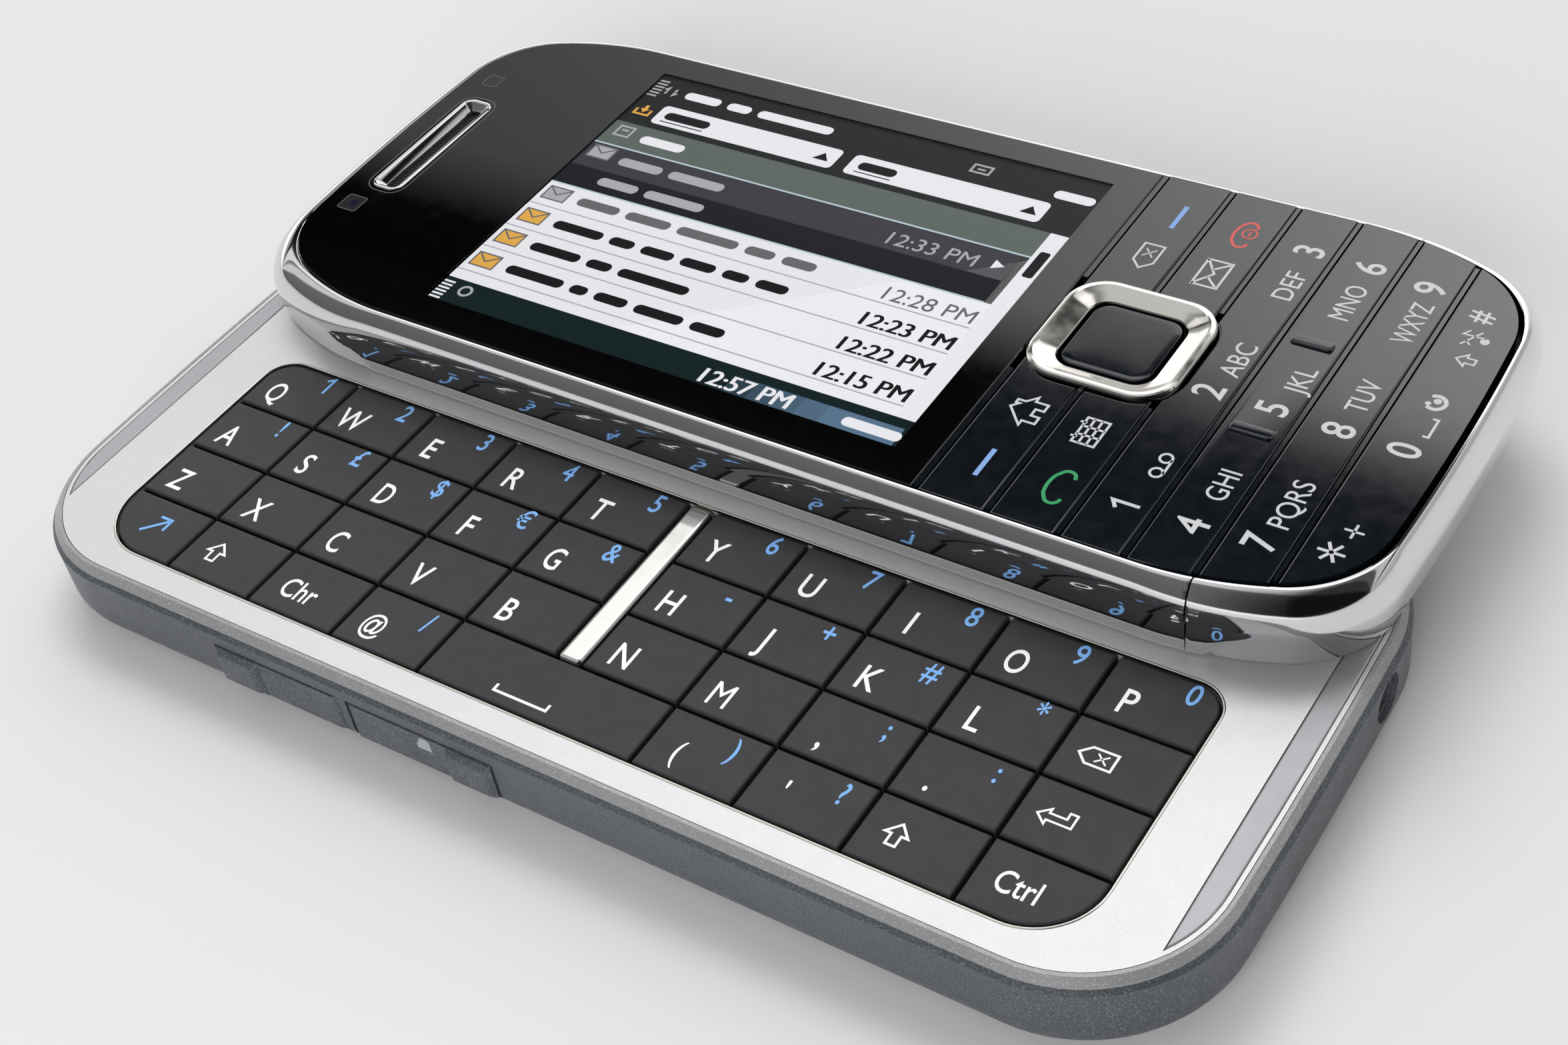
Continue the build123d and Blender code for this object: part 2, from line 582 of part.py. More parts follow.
def battery_block(gap, z0, z1):
    """Room of the battery, or the battery itself where the gap is 0."""
    half = BATTERY_WIDTH / 2 + gap
    return block(BATTERY_START - gap, BATTERY_END + gap, -half, half, z0, z1)


def screw_head_top(x):
    """Screws under the battery door start higher than those in the open back."""
    seat = DOOR_ROOF if x > DOOR_EDGE else 0
    return seat + SCREW_SINK + SCREW_HEAD_HEIGHT


def battery_door():
    return base_body() & door_space(DOOR_GAP)


def battery():
    cell = battery_block(0, BATTERY_BOTTOM, BATTERY_TOP)
    return fillet(cell.edges().filter_by(Axis.X), BATTERY_ROUND)


def case_screws():
    screws = []
    for x, y in SCREW_PLACES:
        top = screw_head_top(x)
        head = rod(x, y, top - SCREW_HEAD_HEIGHT, top, SCREW_HEAD_RADIUS)
        for length, width in ((CROSS_LENGTH, CROSS_WIDTH), (CROSS_WIDTH, CROSS_LENGTH)):
            head -= block(x - length / 2, x + length / 2, y - width / 2, y + width / 2,
                          top - SCREW_HEAD_HEIGHT - CUT, top - SCREW_HEAD_HEIGHT + CROSS_DEPTH)
        screws.append((head + rod(x, y, top, DECK_BOTTOM - SCREW_TIP_GAP, SCREW_RADIUS)).solid())
    return Compound(screws)


def deck_rim():
    ring = prism(base_outline(RIM_INSET), RIM_SEAT, BASE_DEPTH)
    ring = chamfer(ring.faces().sort_by(Axis.Z)[-1].edges(), RIM_BEVEL)
    return ring - prism(base_outline(RIM_INSET + RIM_WIDTH), RIM_SEAT - CUT, BASE_DEPTH + CUT)


def end_strip_face(side, grow=0.0):
    """Plan outline of one end strip, its outer edge parallel to the base's outline."""
    inner = BASE_LENGTH / 2 - STRIP_INSET - grow
    half = STRIP_HALF_LENGTH + grow
    outer = BASE_LENGTH
    slab = Pos(side * (inner + outer) / 2, 0) * Rectangle(outer - inner, 2 * half)
    edge = STRIP_INSET - STRIP_WIDTH - grow
    return slab & base_outline(edge)


def keyboard_deck():
    deck = prism(base_outline(RIM_INSET + RIM_WIDTH + SEAT_GAP), DECK_BOTTOM, BASE_DEPTH)
    deck -= prism(keyboard_outline(-KEY_CLEAR), DECK_BOTTOM - CUT, BASE_DEPTH + CUT)
    for side in (-1, 1):
        deck -= prism(end_strip_face(side, SEAT_GAP), BASE_DEPTH - STRIP_DEPTH, BASE_DEPTH + CUT)
    return deck


def end_strips():
    strips = []
    for side in (-1, 1):
        strip = prism(end_strip_face(side), BASE_DEPTH - STRIP_DEPTH, BASE_DEPTH + STRIP_RAISE)
        strips.append(fillet(strip.edges().group_by(Axis.Z)[-1], STRIP_ROUND).solid())
    return Compound(strips)


def chassis():
    plate = prism(base_outline(WALL + SEAT_GAP), CHASSIS_BOTTOM, DECK_BOTTOM)
    pocket_bottom = CHASSIS_BOTTOM + CHASSIS_FLOOR
    plate -= prism(keyboard_outline(-KEYMAT_MARGIN - SEAT_GAP), pocket_bottom, BASE_DEPTH)
    for x, y in SCREW_PLACES:
        plate -= rod(x, y, CHASSIS_BOTTOM - CUT, BASE_DEPTH, SCREW_RADIUS + SCREW_CLEAR)
    end = -BASE_LENGTH / 2
    half = JACK_RADIUS + SEAT_GAP
    plate -= block(end, end + WALL + LEDGE + JACK_LENGTH, JACK_Y - half, JACK_Y + half, 0, JACK_Z + half)
    half = CHARGER_RADIUS + SEAT_GAP
    back = CHARGER_MOUTH - CHARGER_LENGTH - SEAT_GAP
    plate -= block(back, -end, CHARGER_Y - half, CHARGER_Y + half, 0, CHARGER_Z + half)
    return plate


def divider_bar():
    """Polished bar between the two halves of the keyboard, down to the row of the space key."""
    half = DIVIDER_WIDTH / 2 - KEY_CLEAR
    y1 = KEYBOARD_Y + GRID_HALF_Y - KEY_CLEAR
    y0 = y1 - (KEY_ROWS - 1) * KEY_PITCH_Y + KEY_CLEAR
    bar = block(-half, half, y0, y1, KEYMAT_TOP, BASE_DEPTH)
    bar = fillet(bar.edges().filter_by(Axis.Z), DIVIDER_CORNER)
    return fillet(bar.edges().group_by(Axis.Z)[-1], DIVIDER_ROUND)


def keyboard_board():
    z0 = CHASSIS_BOTTOM + CHASSIS_FLOOR
    return prism(keyboard_outline(-KEYMAT_MARGIN), z0, z0 + BOARD_THICKNESS)


def keymat():
    return prism(keyboard_outline(-KEYMAT_MARGIN), KEYMAT_TOP - KEYMAT_THICKNESS, KEYMAT_TOP)


def main_board():
    """Board with two shield cans on it, cut out round the camera."""
    board = block(BOARD_LEFT, BOARD_RIGHT, BOARD_NEAR, BOARD_FAR, MAIN_BOARD_Z, MAIN_BOARD_TOP)
    half = CAMERA_SIZE / 2 + BATTERY_GAP
    board -= block(CAMERA_X - half, CAMERA_X + half, CAMERA_Y - half, CAMERA_Y + half, 0, BASE_DEPTH)
    x0 = BOARD_LEFT + SHIELD_MARGIN
    x1 = BOARD_RIGHT - SHIELD_MARGIN
    y0 = BOARD_NEAR + SHIELD_MARGIN
    y1 = CAMERA_Y - half - SHIELD_MARGIN
    middle = (y0 + y1) / 2
    for near, far in ((y0, middle - SHIELD_SPACING / 2), (middle + SHIELD_SPACING / 2, y1)):
        board += block(x0, x1, near, far, MAIN_BOARD_TOP, SHIELD_TOP)
    return board


def camera_module():
    half = CAMERA_SIZE / 2
    body = block(CAMERA_X - half, CAMERA_X + half, CAMERA_Y - half, CAMERA_Y + half,
                 FLOOR, CHASSIS_BOTTOM - BACK_GAP)
    return body + rod(CAMERA_X, CAMERA_Y, CAMERA_WINDOW_THICKNESS + BACK_GAP, FLOOR, CAMERA_BARREL_RADIUS)


def camera_window():
    pane = rod(CAMERA_X, CAMERA_Y, WINDOW_SINK, CAMERA_WINDOW_THICKNESS, CAMERA_WINDOW_RADIUS)
    lamp = rod(CAMERA_X + LAMP_OFFSET, CAMERA_Y, WINDOW_SINK, CAMERA_WINDOW_THICKNESS, LAMP_RADIUS)
    return Compound([pane.solid(), lamp.solid()])


def loudspeaker():
    x = SPEAKER_LENGTH / 2
    y = SPEAKER_WIDTH / 2
    box = block(SPEAKER_X - x, SPEAKER_X + x, SPEAKER_Y - y, SPEAKER_Y + y, FLOOR, FLOOR + SPEAKER_HEIGHT)
    return fillet(box.edges().filter_by(Axis.Z), SPEAKER_CORNER)


def vibration_motor():
    return rod(SPEAKER_X, MOTOR_Y, FLOOR, FLOOR + MOTOR_HEIGHT, MOTOR_RADIUS)


def sim_holder():
    """Shallow sleeve below the main board, open towards the battery."""
    x1 = BOARD_RIGHT - SIM_MARGIN
    x0 = x1 - SIM_WIDTH
    y0 = SIM_Y - SIM_LENGTH / 2
    y1 = SIM_Y + SIM_LENGTH / 2
    quarter = (MAIN_BOARD_Z - SIM_BOTTOM) / 4
    holder = block(x0, x1, y0, y1, SIM_BOTTOM, MAIN_BOARD_Z)
    return holder - block(x0 + SIM_WALL, x1 + CUT, y0 + SIM_WALL, y1 - SIM_WALL,
                          SIM_BOTTOM + quarter, MAIN_BOARD_Z - quarter)


def port_socket():
    half = PORT_WIDTH / 2
    back = SOCKET_MOUTH + PORT_LENGTH
    top = FLOOR + PORT_HEIGHT
    shell = block(PORT_X - half, PORT_X + half, SOCKET_MOUTH, back, FLOOR, top)
    shell -= block(PORT_X - half + PORT_SHELL, PORT_X + half - PORT_SHELL,
                   SOCKET_MOUTH - CUT, back - PORT_SHELL, FLOOR + PORT_SHELL, top - PORT_SHELL)
    tongue_half = half - PORT_TONGUE_INSET
    middle = FLOOR + PORT_HEIGHT / 2
    return shell + block(PORT_X - tongue_half, PORT_X + tongue_half, SOCKET_MOUTH + PORT_SHELL, back,
                         middle - PORT_TONGUE_THICKNESS / 2, middle + PORT_TONGUE_THICKNESS / 2)


def card_slot():
    half = CARD_SLOT_WIDTH / 2
    back = SOCKET_MOUTH + CARD_SLOT_LENGTH
    body = block(CARD_SLOT_X - half, CARD_SLOT_X + half, SOCKET_MOUTH, back, FLOOR, FLOOR + CARD_SLOT_HEIGHT)
    half -= CARD_SLOT_WALL
    z = FLOOR + CARD_SLOT_HEIGHT / 2
    return body - block(CARD_SLOT_X - half, CARD_SLOT_X + half, SOCKET_MOUTH - CUT, back - CARD_SLOT_WALL,
                        z - CARD_MOUTH / 2, z + CARD_MOUTH / 2)


def charger_socket():
    """Barrel socket with a centre pin; its mouth sits behind the small hole in the end wall."""
    x0 = CHARGER_MOUTH - CHARGER_LENGTH
    barrel = rod_x(x0, CHARGER_MOUTH, CHARGER_Y, CHARGER_Z, CHARGER_RADIUS)
    barrel -= rod_x(x0 + CHARGER_BACK, CHARGER_MOUTH + CUT, CHARGER_Y, CHARGER_Z, CHARGER_BORE)
    return barrel + rod_x(x0, CHARGER_MOUTH - CHARGER_BACK, CHARGER_Y, CHARGER_Z, CHARGER_PIN)


def audio_jack():
    x0 = JACK_SINK - BASE_LENGTH / 2
    barrel = rod_x(x0, x0 + JACK_LENGTH, JACK_Y, JACK_Z, JACK_RADIUS)
    return barrel - rod_x(x0 - CUT, x0 + JACK_LENGTH - JACK_BACK, JACK_Y, JACK_Z, JACK_BORE)


def flap(side):
    """Hinged cover of a socket, with a fingernail tongue at its free end."""
    x0, x1 = flap_range(side)
    x0 += FLAP_CLEAR
    x1 -= FLAP_CLEAR
    face = -BASE_WIDTH / 2 - FLAP_PROUD
    z0 = FLAP_BOTTOM + FLAP_CLEAR
    z1 = FLAP_TOP - FLAP_CLEAR
    plate = block(x0, x1, face, face + FLAP_THICKNESS, z0, z1)
    hinge_edges = plate.faces().sort_by(Axis.X)[-1 if side < 0 else 0].edges().filter_by(Axis.Z)
    plate = fillet(hinge_edges, FLAP_THICKNESS / 2 - 0.001)
    start = x0 if side < 0 else x1 - TONGUE_LENGTH
    bulge = block(start, start + TONGUE_LENGTH, face - TONGUE_BULGE, face, z0, z1)
    bulge = chamfer(bulge.faces().sort_by(Axis.Y)[0].edges(), TONGUE_SLOPE)
    return plate + bulge


def side_key(x, length, flange_length, seat):
    """Key in the far wall: a cap through the wall and a flange behind it."""
    y = wall_inner_y() - seat
    half = SIDE_KEY_HEIGHT / 2
    cap = block(x - length / 2, x + length / 2, y, BASE_WIDTH / 2 + SIDE_KEY_PROUD,
                SIDE_KEY_Z - half, SIDE_KEY_Z + half)
    cap = fillet(cap.faces().sort_by(Axis.Y)[-1].edges(), SIDE_KEY_ROUND)
    lip = SIDE_KEY_LIP
    flange = block(x - flange_length / 2, x + flange_length / 2, y - SIDE_KEY_FLANGE, y,
                   SIDE_KEY_Z - half - lip, SIDE_KEY_Z + half + lip)
    return cap + flange


def volume_key():
    """Rocker that tilts on a round rib along the back of its flange."""
    y = wall_inner_y() - VOLUME_SEAT - SIDE_KEY_FLANGE
    half = SIDE_KEY_HEIGHT / 2 + SIDE_KEY_LIP
    rib = rod(VOLUME_X, y, SIDE_KEY_Z - half, SIDE_KEY_Z + half, VOLUME_RIB)
    return side_key(VOLUME_X, VOLUME_LENGTH, VOLUME_FLANGE, VOLUME_SEAT) + rib


def camera_key():
    flange_length = CAMERA_KEY_LENGTH + 2 * SIDE_KEY_LIP
    return side_key(CAMERA_KEY_X, CAMERA_KEY_LENGTH, flange_length, SIDE_KEY_SEAT)


def power_key():
    x = -BASE_LENGTH / 2
    seat = x + WALL + LEDGE / 2 + SIDE_KEY_SEAT
    half = SIDE_KEY_HEIGHT / 2
    long_half = POWER_KEY_LENGTH / 2
    cap = block(x - SIDE_KEY_PROUD, seat, POWER_KEY_Y - long_half, POWER_KEY_Y + long_half,
                SIDE_KEY_Z - half, SIDE_KEY_Z + half)
    cap = fillet(cap.faces().sort_by(Axis.X)[0].edges(), SIDE_KEY_ROUND)
    lip = SIDE_KEY_LIP
    flange = block(seat, seat + SIDE_KEY_FLANGE, POWER_KEY_Y - long_half - lip, POWER_KEY_Y + long_half + lip,
                   SIDE_KEY_Z - half - lip, SIDE_KEY_Z + half + lip)
    return cap + flange


def guide_shoes():
    """Two T-shaped shoes on the deck that run in the slider's tracks."""
    shoes = []
    for side in (-1, 1):
        x = side * SHOE_X
        y0 = SHOE_Y - SHOE_LENGTH / 2
        y1 = SHOE_Y + SHOE_LENGTH / 2
        stem = block(x - SHOE_STEM / 2, x + SHOE_STEM / 2, y0, y1, BASE_DEPTH, SHOE_HEAD_BOTTOM)
        head = block(x - SHOE_HEAD / 2, x + SHOE_HEAD / 2, y0, y1, SHOE_HEAD_BOTTOM, SHOE_TOP)
        shoes.append((stem + head).solid())
    return Compound(shoes)


# ---------------------------------------------------------------- slider half

def track(width, z0, z1):
    """Two straight slots, as long as the shoes' travel and place ask for."""
    y0 = SHOE_Y - SHOE_LENGTH / 2 - TRAVEL - TRACK_END_GAP
    y1 = SHOE_Y + SHOE_LENGTH / 2 + TRACK_END_GAP
    slots = [block(side * SHOE_X - width / 2, side * SHOE_X + width / 2, y0, y1, z0, z1) for side in (-1, 1)]
    return slots[0] + slots[1]


def slide_plate():
    plate = prism(window_outline(SEAT_GAP), UNDERSIDE, PLATE_TOP)
    return plate - track(SHOE_STEM + 2 * SHOE_CLEAR, UNDERSIDE - CUT, PLATE_TOP + CUT)


def slider_chassis():
    """Tub that carries display and keypad, with the shoe tracks in its underside."""
    tub = prism(window_outline(SEAT_GAP), PLATE_TOP, FACE_BOTTOM)
    tub -= prism(window_outline(SEAT_GAP + CHASSIS_WALL), CHASSIS_FLOOR_TOP, FACE_TOP)
    tub -= block(WINDOW_END - CHASSIS_WALL, BASE_LENGTH, -BASE_WIDTH, BASE_WIDTH, PAD_BOARD_TOP, FACE_TOP)
    cross_wall = block(WINDOW_END - 2 * CHASSIS_WALL, WINDOW_END - CHASSIS_WALL, -BASE_WIDTH, BASE_WIDTH,
                       CHASSIS_FLOOR_TOP, FACE_BOTTOM)
    tub += cross_wall & prism(window_outline(SEAT_GAP), UNDERSIDE, FACE_TOP)
    roof = SHOE_TOP + TRACK_ROOF_GAP
    return tub - track(SHOE_HEAD + 2 * SHOE_CLEAR, PLATE_TOP - CUT, roof)


def frame_section(fraction, tuck=0.0):
    """Outline of the frame, from its widest line (0) to its inner edge (1)."""
    left = SLIDER_LEFT - fraction * FRAME_LEFT_WIDTH
    right = SLIDER_RIGHT - fraction * FRAME_RIGHT_WIDTH
    return slider_outline(left, right, SLIDER_HALF_WIDTH - fraction * FRAME_SIDE_WIDTH, tuck)


def frame_ring():
    """Chrome ring: a straight lower side up to the widest line, then a crowned band."""
    sections = [Pos(0, 0, UNDERSIDE) * frame_section(0, FRAME_TUCK)]
    crown_height = FRAME_HEIGHT - CREASE_HEIGHT
    for inward, up in FRAME_CROWN:
        z = UNDERSIDE + CREASE_HEIGHT + up * crown_height
        sections.append(Pos(0, 0, z) * frame_section(inward))
    body = loft(sections, ruled=True)
    return body - prism(window_outline(), UNDERSIDE - CUT, FRAME_TOP + CUT)


def slider_frame():
    end = BASE_LENGTH
    return frame_ring() - block(SEAM_X - SEAM_GAP / 2, end, -end, end, 0, end)


def end_cap():
    end = BASE_LENGTH
    return frame_ring() - block(-end, SEAM_X + SEAM_GAP / 2, -end, end, 0, end)


def ear_face(length, width):
    return Pos(EAR_X, EAR_Y) * Rot(0, 0, 90) * SlotOverall(length, width)


def lens_face(grow=0.0):
    """Clear area of the window above the display."""
    length = DISPLAY_LENGTH + 2 * (LENS_MARGIN + grow)
    return Pos(DISPLAY_X, DISPLAY_Y) * Rectangle(length, DISPLAY_WIDTH + 2 * (LENS_MARGIN + grow))


def window():
    end = BASE_LENGTH
    pane = prism(window_outline(WINDOW_GAP), FACE_BOTTOM, FACE_TOP)
    pane -= block(WINDOW_END, end, -end, end, 0, end)
    pane = chamfer(pane.faces().sort_by(Axis.Z)[-1].edges(), WINDOW_EDGE)
    pane -= prism(lens_face(LENS_GAP), FACE_BOTTOM - CUT, FACE_TOP + CUT)
    ear_hole = ear_face(EAR_LENGTH + 2 * SEAT_GAP, EAR_WIDTH + 2 * SEAT_GAP)
    return pane - prism(ear_hole, FACE_BOTTOM - CUT, FACE_TOP + CUT)


def display_lens():
    return prism(lens_face(), FACE_BOTTOM, FACE_TOP)


def display_module():
    x = DISPLAY_LENGTH / 2 + DISPLAY_BORDER
    y = DISPLAY_WIDTH / 2 + DISPLAY_BORDER
    z0 = CHASSIS_FLOOR_TOP
    panel = block(DISPLAY_X - x, DISPLAY_X + x, DISPLAY_Y - y, DISPLAY_Y + y, z0, z0 + DISPLAY_THICKNESS)
    return fillet(panel.edges().filter_by(Axis.Z), DISPLAY_CORNER)


def earpiece_grille():
    ring = prism(ear_face(EAR_LENGTH, EAR_WIDTH), FACE_BOTTOM, FACE_TOP + EAR_PROUD)
    ring = fillet(ring.edges().group_by(Axis.Z)[-1], EAR_ROUND)
    return ring - prism(ear_face(EAR_SLOT_LENGTH, EAR_SLOT_WIDTH), FACE_BOTTOM + EAR_FLOOR, FACE_TOP + CUT)


def earpiece_capsule():
    x = EAR_WIDTH / 2
    y = EAR_SLOT_LENGTH / 2
    z0 = CHASSIS_FLOOR_TOP
    box = block(EAR_X - x, EAR_X + x, EAR_Y - y, EAR_Y + y, z0, z0 + CAPSULE_HEIGHT)
    return fillet(box.edges().filter_by(Axis.Z), CAPSULE_CORNER)


def front_camera():
    return rod(SELFIE_X, SELFIE_Y, CHASSIS_FLOOR_TOP, CHASSIS_FLOOR_TOP + CAPSULE_HEIGHT, SELFIE_RADIUS)


def keypad_board():
    board = prism(window_outline(SEAT_GAP + CHASSIS_WALL + SEAT_GAP), CHASSIS_FLOOR_TOP, PAD_BOARD_TOP)
    start = WINDOW_END - CHASSIS_WALL + SEAT_GAP
    return board - block(-BASE_LENGTH, start, -BASE_WIDTH, BASE_WIDTH, 0, FACE_TOP)


def ring_face(length, width, corner):
    return Pos(RING_X, 0) * RectangleRounded(length, width, corner)


def pad_strip(index, y0=-BASE_WIDTH, y1=BASE_WIDTH):
    """One strip of the keypad, cut to the keypad's outline and clear of the navigation ring."""
    top = FACE_TOP
    strip = block(PAD_STARTS[index], PAD_STARTS[index] + PAD_WIDTHS[index], y0, y1, PAD_BOTTOM, top)
    strip &= prism(pad_outline(), PAD_BOTTOM, top)
    gap = 2 * RING_GAP
    ring_room = ring_face(RING_LENGTH + gap, RING_WIDTH + gap, RING_CORNER + RING_GAP)
    strip -= prism(ring_room, PAD_BOTTOM - CUT, top + CUT)
    return fillet(strip.edges().group_by(Axis.Z)[-1].filter_by(Axis.Y), PAD_EDGE_ROUND)


def pad_outline():
    """Outline that the ends of the strips follow."""
    left = SLIDER_LEFT - FRAME_LEFT_WIDTH
    half = SLIDER_HALF_WIDTH - FRAME_SIDE_WIDTH - PAD_SIDE_CLEAR
    return slider_outline(left, PAD_END, half)


def ridged_strip(index):
    """The strip of 4, 5 and 6, with two ridges that mark the 5 by touch."""
    x = PAD_STARTS[index] + PAD_WIDTHS[index] / 2
    strip = pad_strip(index)
    for y in (-RIDGE_Y, RIDGE_Y):
        ridge = block(x - RIDGE_LENGTH / 2, x + RIDGE_LENGTH / 2, y - RIDGE_WIDTH / 2, y + RIDGE_WIDTH / 2,
                      FACE_TOP - RIDGE_ROOT, FACE_TOP + RIDGE_HEIGHT)
        strip += fillet(ridge.edges().group_by(Axis.Z)[-1], RIDGE_ROOT)
    return strip


def nav_ring():
    ring = prism(ring_face(RING_LENGTH, RING_WIDTH, RING_CORNER), PAD_BOTTOM, FACE_TOP + RING_PROUD)
    ring = fillet(ring.edges().group_by(Axis.Z)[-1], RING_ROUND)
    gap = 2 * RING_GAP
    hole = ring_face(SELECT_LENGTH + gap, SELECT_WIDTH + gap, SELECT_CORNER + RING_GAP)
    return ring - prism(hole, PAD_BOTTOM - CUT, FACE_TOP + RING_PROUD + CUT)


def select_key():
    top = FACE_TOP + RING_PROUD - SELECT_SINK
    key = prism(ring_face(SELECT_LENGTH, SELECT_WIDTH, SELECT_CORNER), PAD_BOTTOM, top)
    return fillet(key.edges().group_by(Axis.Z)[-1], SELECT_ROUND)


BASE_PARTS = {
    "base_housing": base_housing,
    "battery_door": battery_door,
    "battery": battery,
    "case_screws": case_screws,
    "deck_rim": deck_rim,
    "keyboard_deck": keyboard_deck,
    "end_strips": end_strips,
    "chassis": chassis,
    "divider_bar": divider_bar,
    "keyboard_board": keyboard_board,
    "keymat": keymat,
    "main_board": main_board,
    "camera_module": camera_module,
    "camera_window": camera_window,
    "loudspeaker": loudspeaker,
    "vibration_motor": vibration_motor,
    "sim_holder": sim_holder,
    "port_socket": port_socket,
    "card_slot": card_slot,
    "charger_socket": charger_socket,
    "audio_jack": audio_jack,
    "port_flap": lambda: flap(-1),
    "card_flap": lambda: flap(1),
    "volume_key": volume_key,
    "camera_key": camera_key,
    "power_key": power_key,
    "guide_shoes": guide_shoes,
    "letters_q_to_t": lambda: keys(*[(0, column) for column in range(0, 5)]),
    "letters_y_to_p": lambda: keys(*[(0, column) for column in range(5, 10)]),
    "letters_a_to_g": lambda: keys(*[(1, column) for column in range(0, 5)]),
    "letters_h_to_l": lambda: keys(*[(1, column) for column in range(5, 9)]),
    "letters_z_to_b": lambda: keys(*[(2, column) for column in range(0, 5)]),
    "letters_n_to_stop": lambda: keys(*[(2, column) for column in range(5, 9)]),
    "backspace_key": lambda: keys((1, 9)),
    "enter_key": lambda: keys((2, 9)),
    "space_key": lambda: keys((3, 4, 5)),
    "shift_keys": lambda: keys((3, 1), (3, 8)),
    "modifier_keys": lambda: keys((3, 0), (3, 2), (3, 9)),
    "punctuation_keys": lambda: keys((3, 3), (3, 6), (3, 7)),
}

SLIDER_PARTS = {
    "slide_plate": slide_plate,
    "slider_chassis": slider_chassis,
    "slider_frame": slider_frame,
    "end_cap": end_cap,
    "window": window,
    "display_lens": display_lens,
    "display_module": display_module,
    "earpiece_grille": earpiece_grille,
    "earpiece_capsule": earpiece_capsule,
    "front_camera": front_camera,
    "keypad_board": keypad_board,
    "soft_key_left": lambda: pad_strip(0, y1=0),
    "soft_key_right": lambda: pad_strip(0, y0=0),
    "call_key": lambda: pad_strip(1, y1=0),
    "end_key": lambda: pad_strip(1, y0=0),
    "number_bar_1_2_3": lambda: pad_strip(2),
    "number_bar_4_5_6": lambda: ridged_strip(3),
    "number_bar_7_8_9": lambda: pad_strip(4),
    "number_bar_star_0_hash": lambda: pad_strip(5),
    "nav_ring": nav_ring,
    "select_key": select_key,
}

os.makedirs("parts", exist_ok=True)
for name, make in BASE_PARTS.items():
    export_step(make(), f"parts/{name}.step")
for name, make in SLIDER_PARTS.items():
    export_step(at_slider(make()), f"parts/{name}.step")
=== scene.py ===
import json
from math import atan2, cos, degrees, hypot, inf, pi, radians, sin, sqrt, tan

import bmesh
import bpy
from mathutils import Matrix, Vector


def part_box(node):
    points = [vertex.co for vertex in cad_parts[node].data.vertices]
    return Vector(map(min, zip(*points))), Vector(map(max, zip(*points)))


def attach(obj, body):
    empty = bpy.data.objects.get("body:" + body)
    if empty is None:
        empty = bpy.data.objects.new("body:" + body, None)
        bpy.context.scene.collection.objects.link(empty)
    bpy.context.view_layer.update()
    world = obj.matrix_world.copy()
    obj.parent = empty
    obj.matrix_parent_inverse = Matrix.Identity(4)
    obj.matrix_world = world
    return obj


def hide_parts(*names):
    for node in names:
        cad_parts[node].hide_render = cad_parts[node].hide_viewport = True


# Looks of the slider phone. Lengths are in metres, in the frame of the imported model:
# +X towards the number keypad, +Y the way the slider opens, +Z up out of the display.

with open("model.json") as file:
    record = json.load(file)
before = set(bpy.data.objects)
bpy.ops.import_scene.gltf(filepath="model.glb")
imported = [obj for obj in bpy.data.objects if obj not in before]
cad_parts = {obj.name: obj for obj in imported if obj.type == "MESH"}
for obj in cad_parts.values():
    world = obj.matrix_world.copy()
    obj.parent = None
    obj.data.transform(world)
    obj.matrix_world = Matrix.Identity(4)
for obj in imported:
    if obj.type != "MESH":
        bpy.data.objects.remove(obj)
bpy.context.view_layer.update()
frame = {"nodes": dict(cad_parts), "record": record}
NODES = frame["nodes"]
MM = 0.001


def lowest(node):
    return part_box(node)[0]


def highest(node):
    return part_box(node)[1]


# Heights and places that the pieces share, read from the frame.
DECK_TOP = highest("keyboard_deck").z
FACE_TOP = highest("window").z
FRAME_TOP = highest("slider_frame").z
UNDERSIDE = lowest("slider_frame").z
SEAM_X = (highest("slider_frame").x + lowest("end_cap").x) / 2
OUTLINE_LEFT = -lowest("slider_frame").x
OUTLINE_RIGHT = highest("end_cap").x
OUTLINE_HALF = (highest("slider_frame").y - lowest("slider_frame").y) / 2
SLIDER_Y = (highest("slider_frame").y + lowest("slider_frame").y) / 2


# ---------- shader graphs

class Graph:
    """Adds nodes to the tree of a material or a world; an input takes a constant or a node's output."""

    def __init__(self, owner):
        owner.use_nodes = True
        self.nodes = owner.node_tree.nodes
        self.links = owner.node_tree.links

    def feed(self, node, inputs):
        for socket, value in inputs.items():
            if isinstance(value, bpy.types.NodeSocket):
                self.links.new(value, node.inputs[socket])
            else:
                node.inputs[socket].default_value = value

    def add(self, kind, output, inputs):
        node = self.nodes.new(f"ShaderNode{kind}")
        self.feed(node, inputs)
        return node.outputs[output]

    def math(self, operation, first, second):
        node = self.nodes.new("ShaderNodeMath")
        node.operation = operation
        self.feed(node, {0: first, 1: second})
        return node.outputs[0]

    def mix(self, kind, factor, first, second):
        """Runs from the first to the second; kind is FLOAT or RGBA."""
        node = self.nodes.new("ShaderNodeMix")
        node.data_type = kind
        self.feed(node, {"Factor": factor, "A": first, "B": second})
        return node.outputs["Result"]

    def spread(self, value, low, high, start=0.3, end=0.7):
        """Maps a value's range, by default that of a noise, to a range of its own."""
        inputs = {"Value": value, "From Min": start, "From Max": end, "To Min": low, "To Max": high}
        return self.add("MapRange", "Result", inputs)

    def noise(self, scale, detail, rough=0.55, squeeze=(1, 1, 1)):
        """Noise in the piece's own coordinates; scale counts cells per metre."""
        place = self.add("TexCoord", "Object", {})
        place = self.add("Mapping", "Vector", {"Vector": place, "Scale": squeeze})
        inputs = {"Vector": place, "Scale": scale, "Detail": detail, "Roughness": rough}
        return self.add("TexNoise", "Fac", inputs)


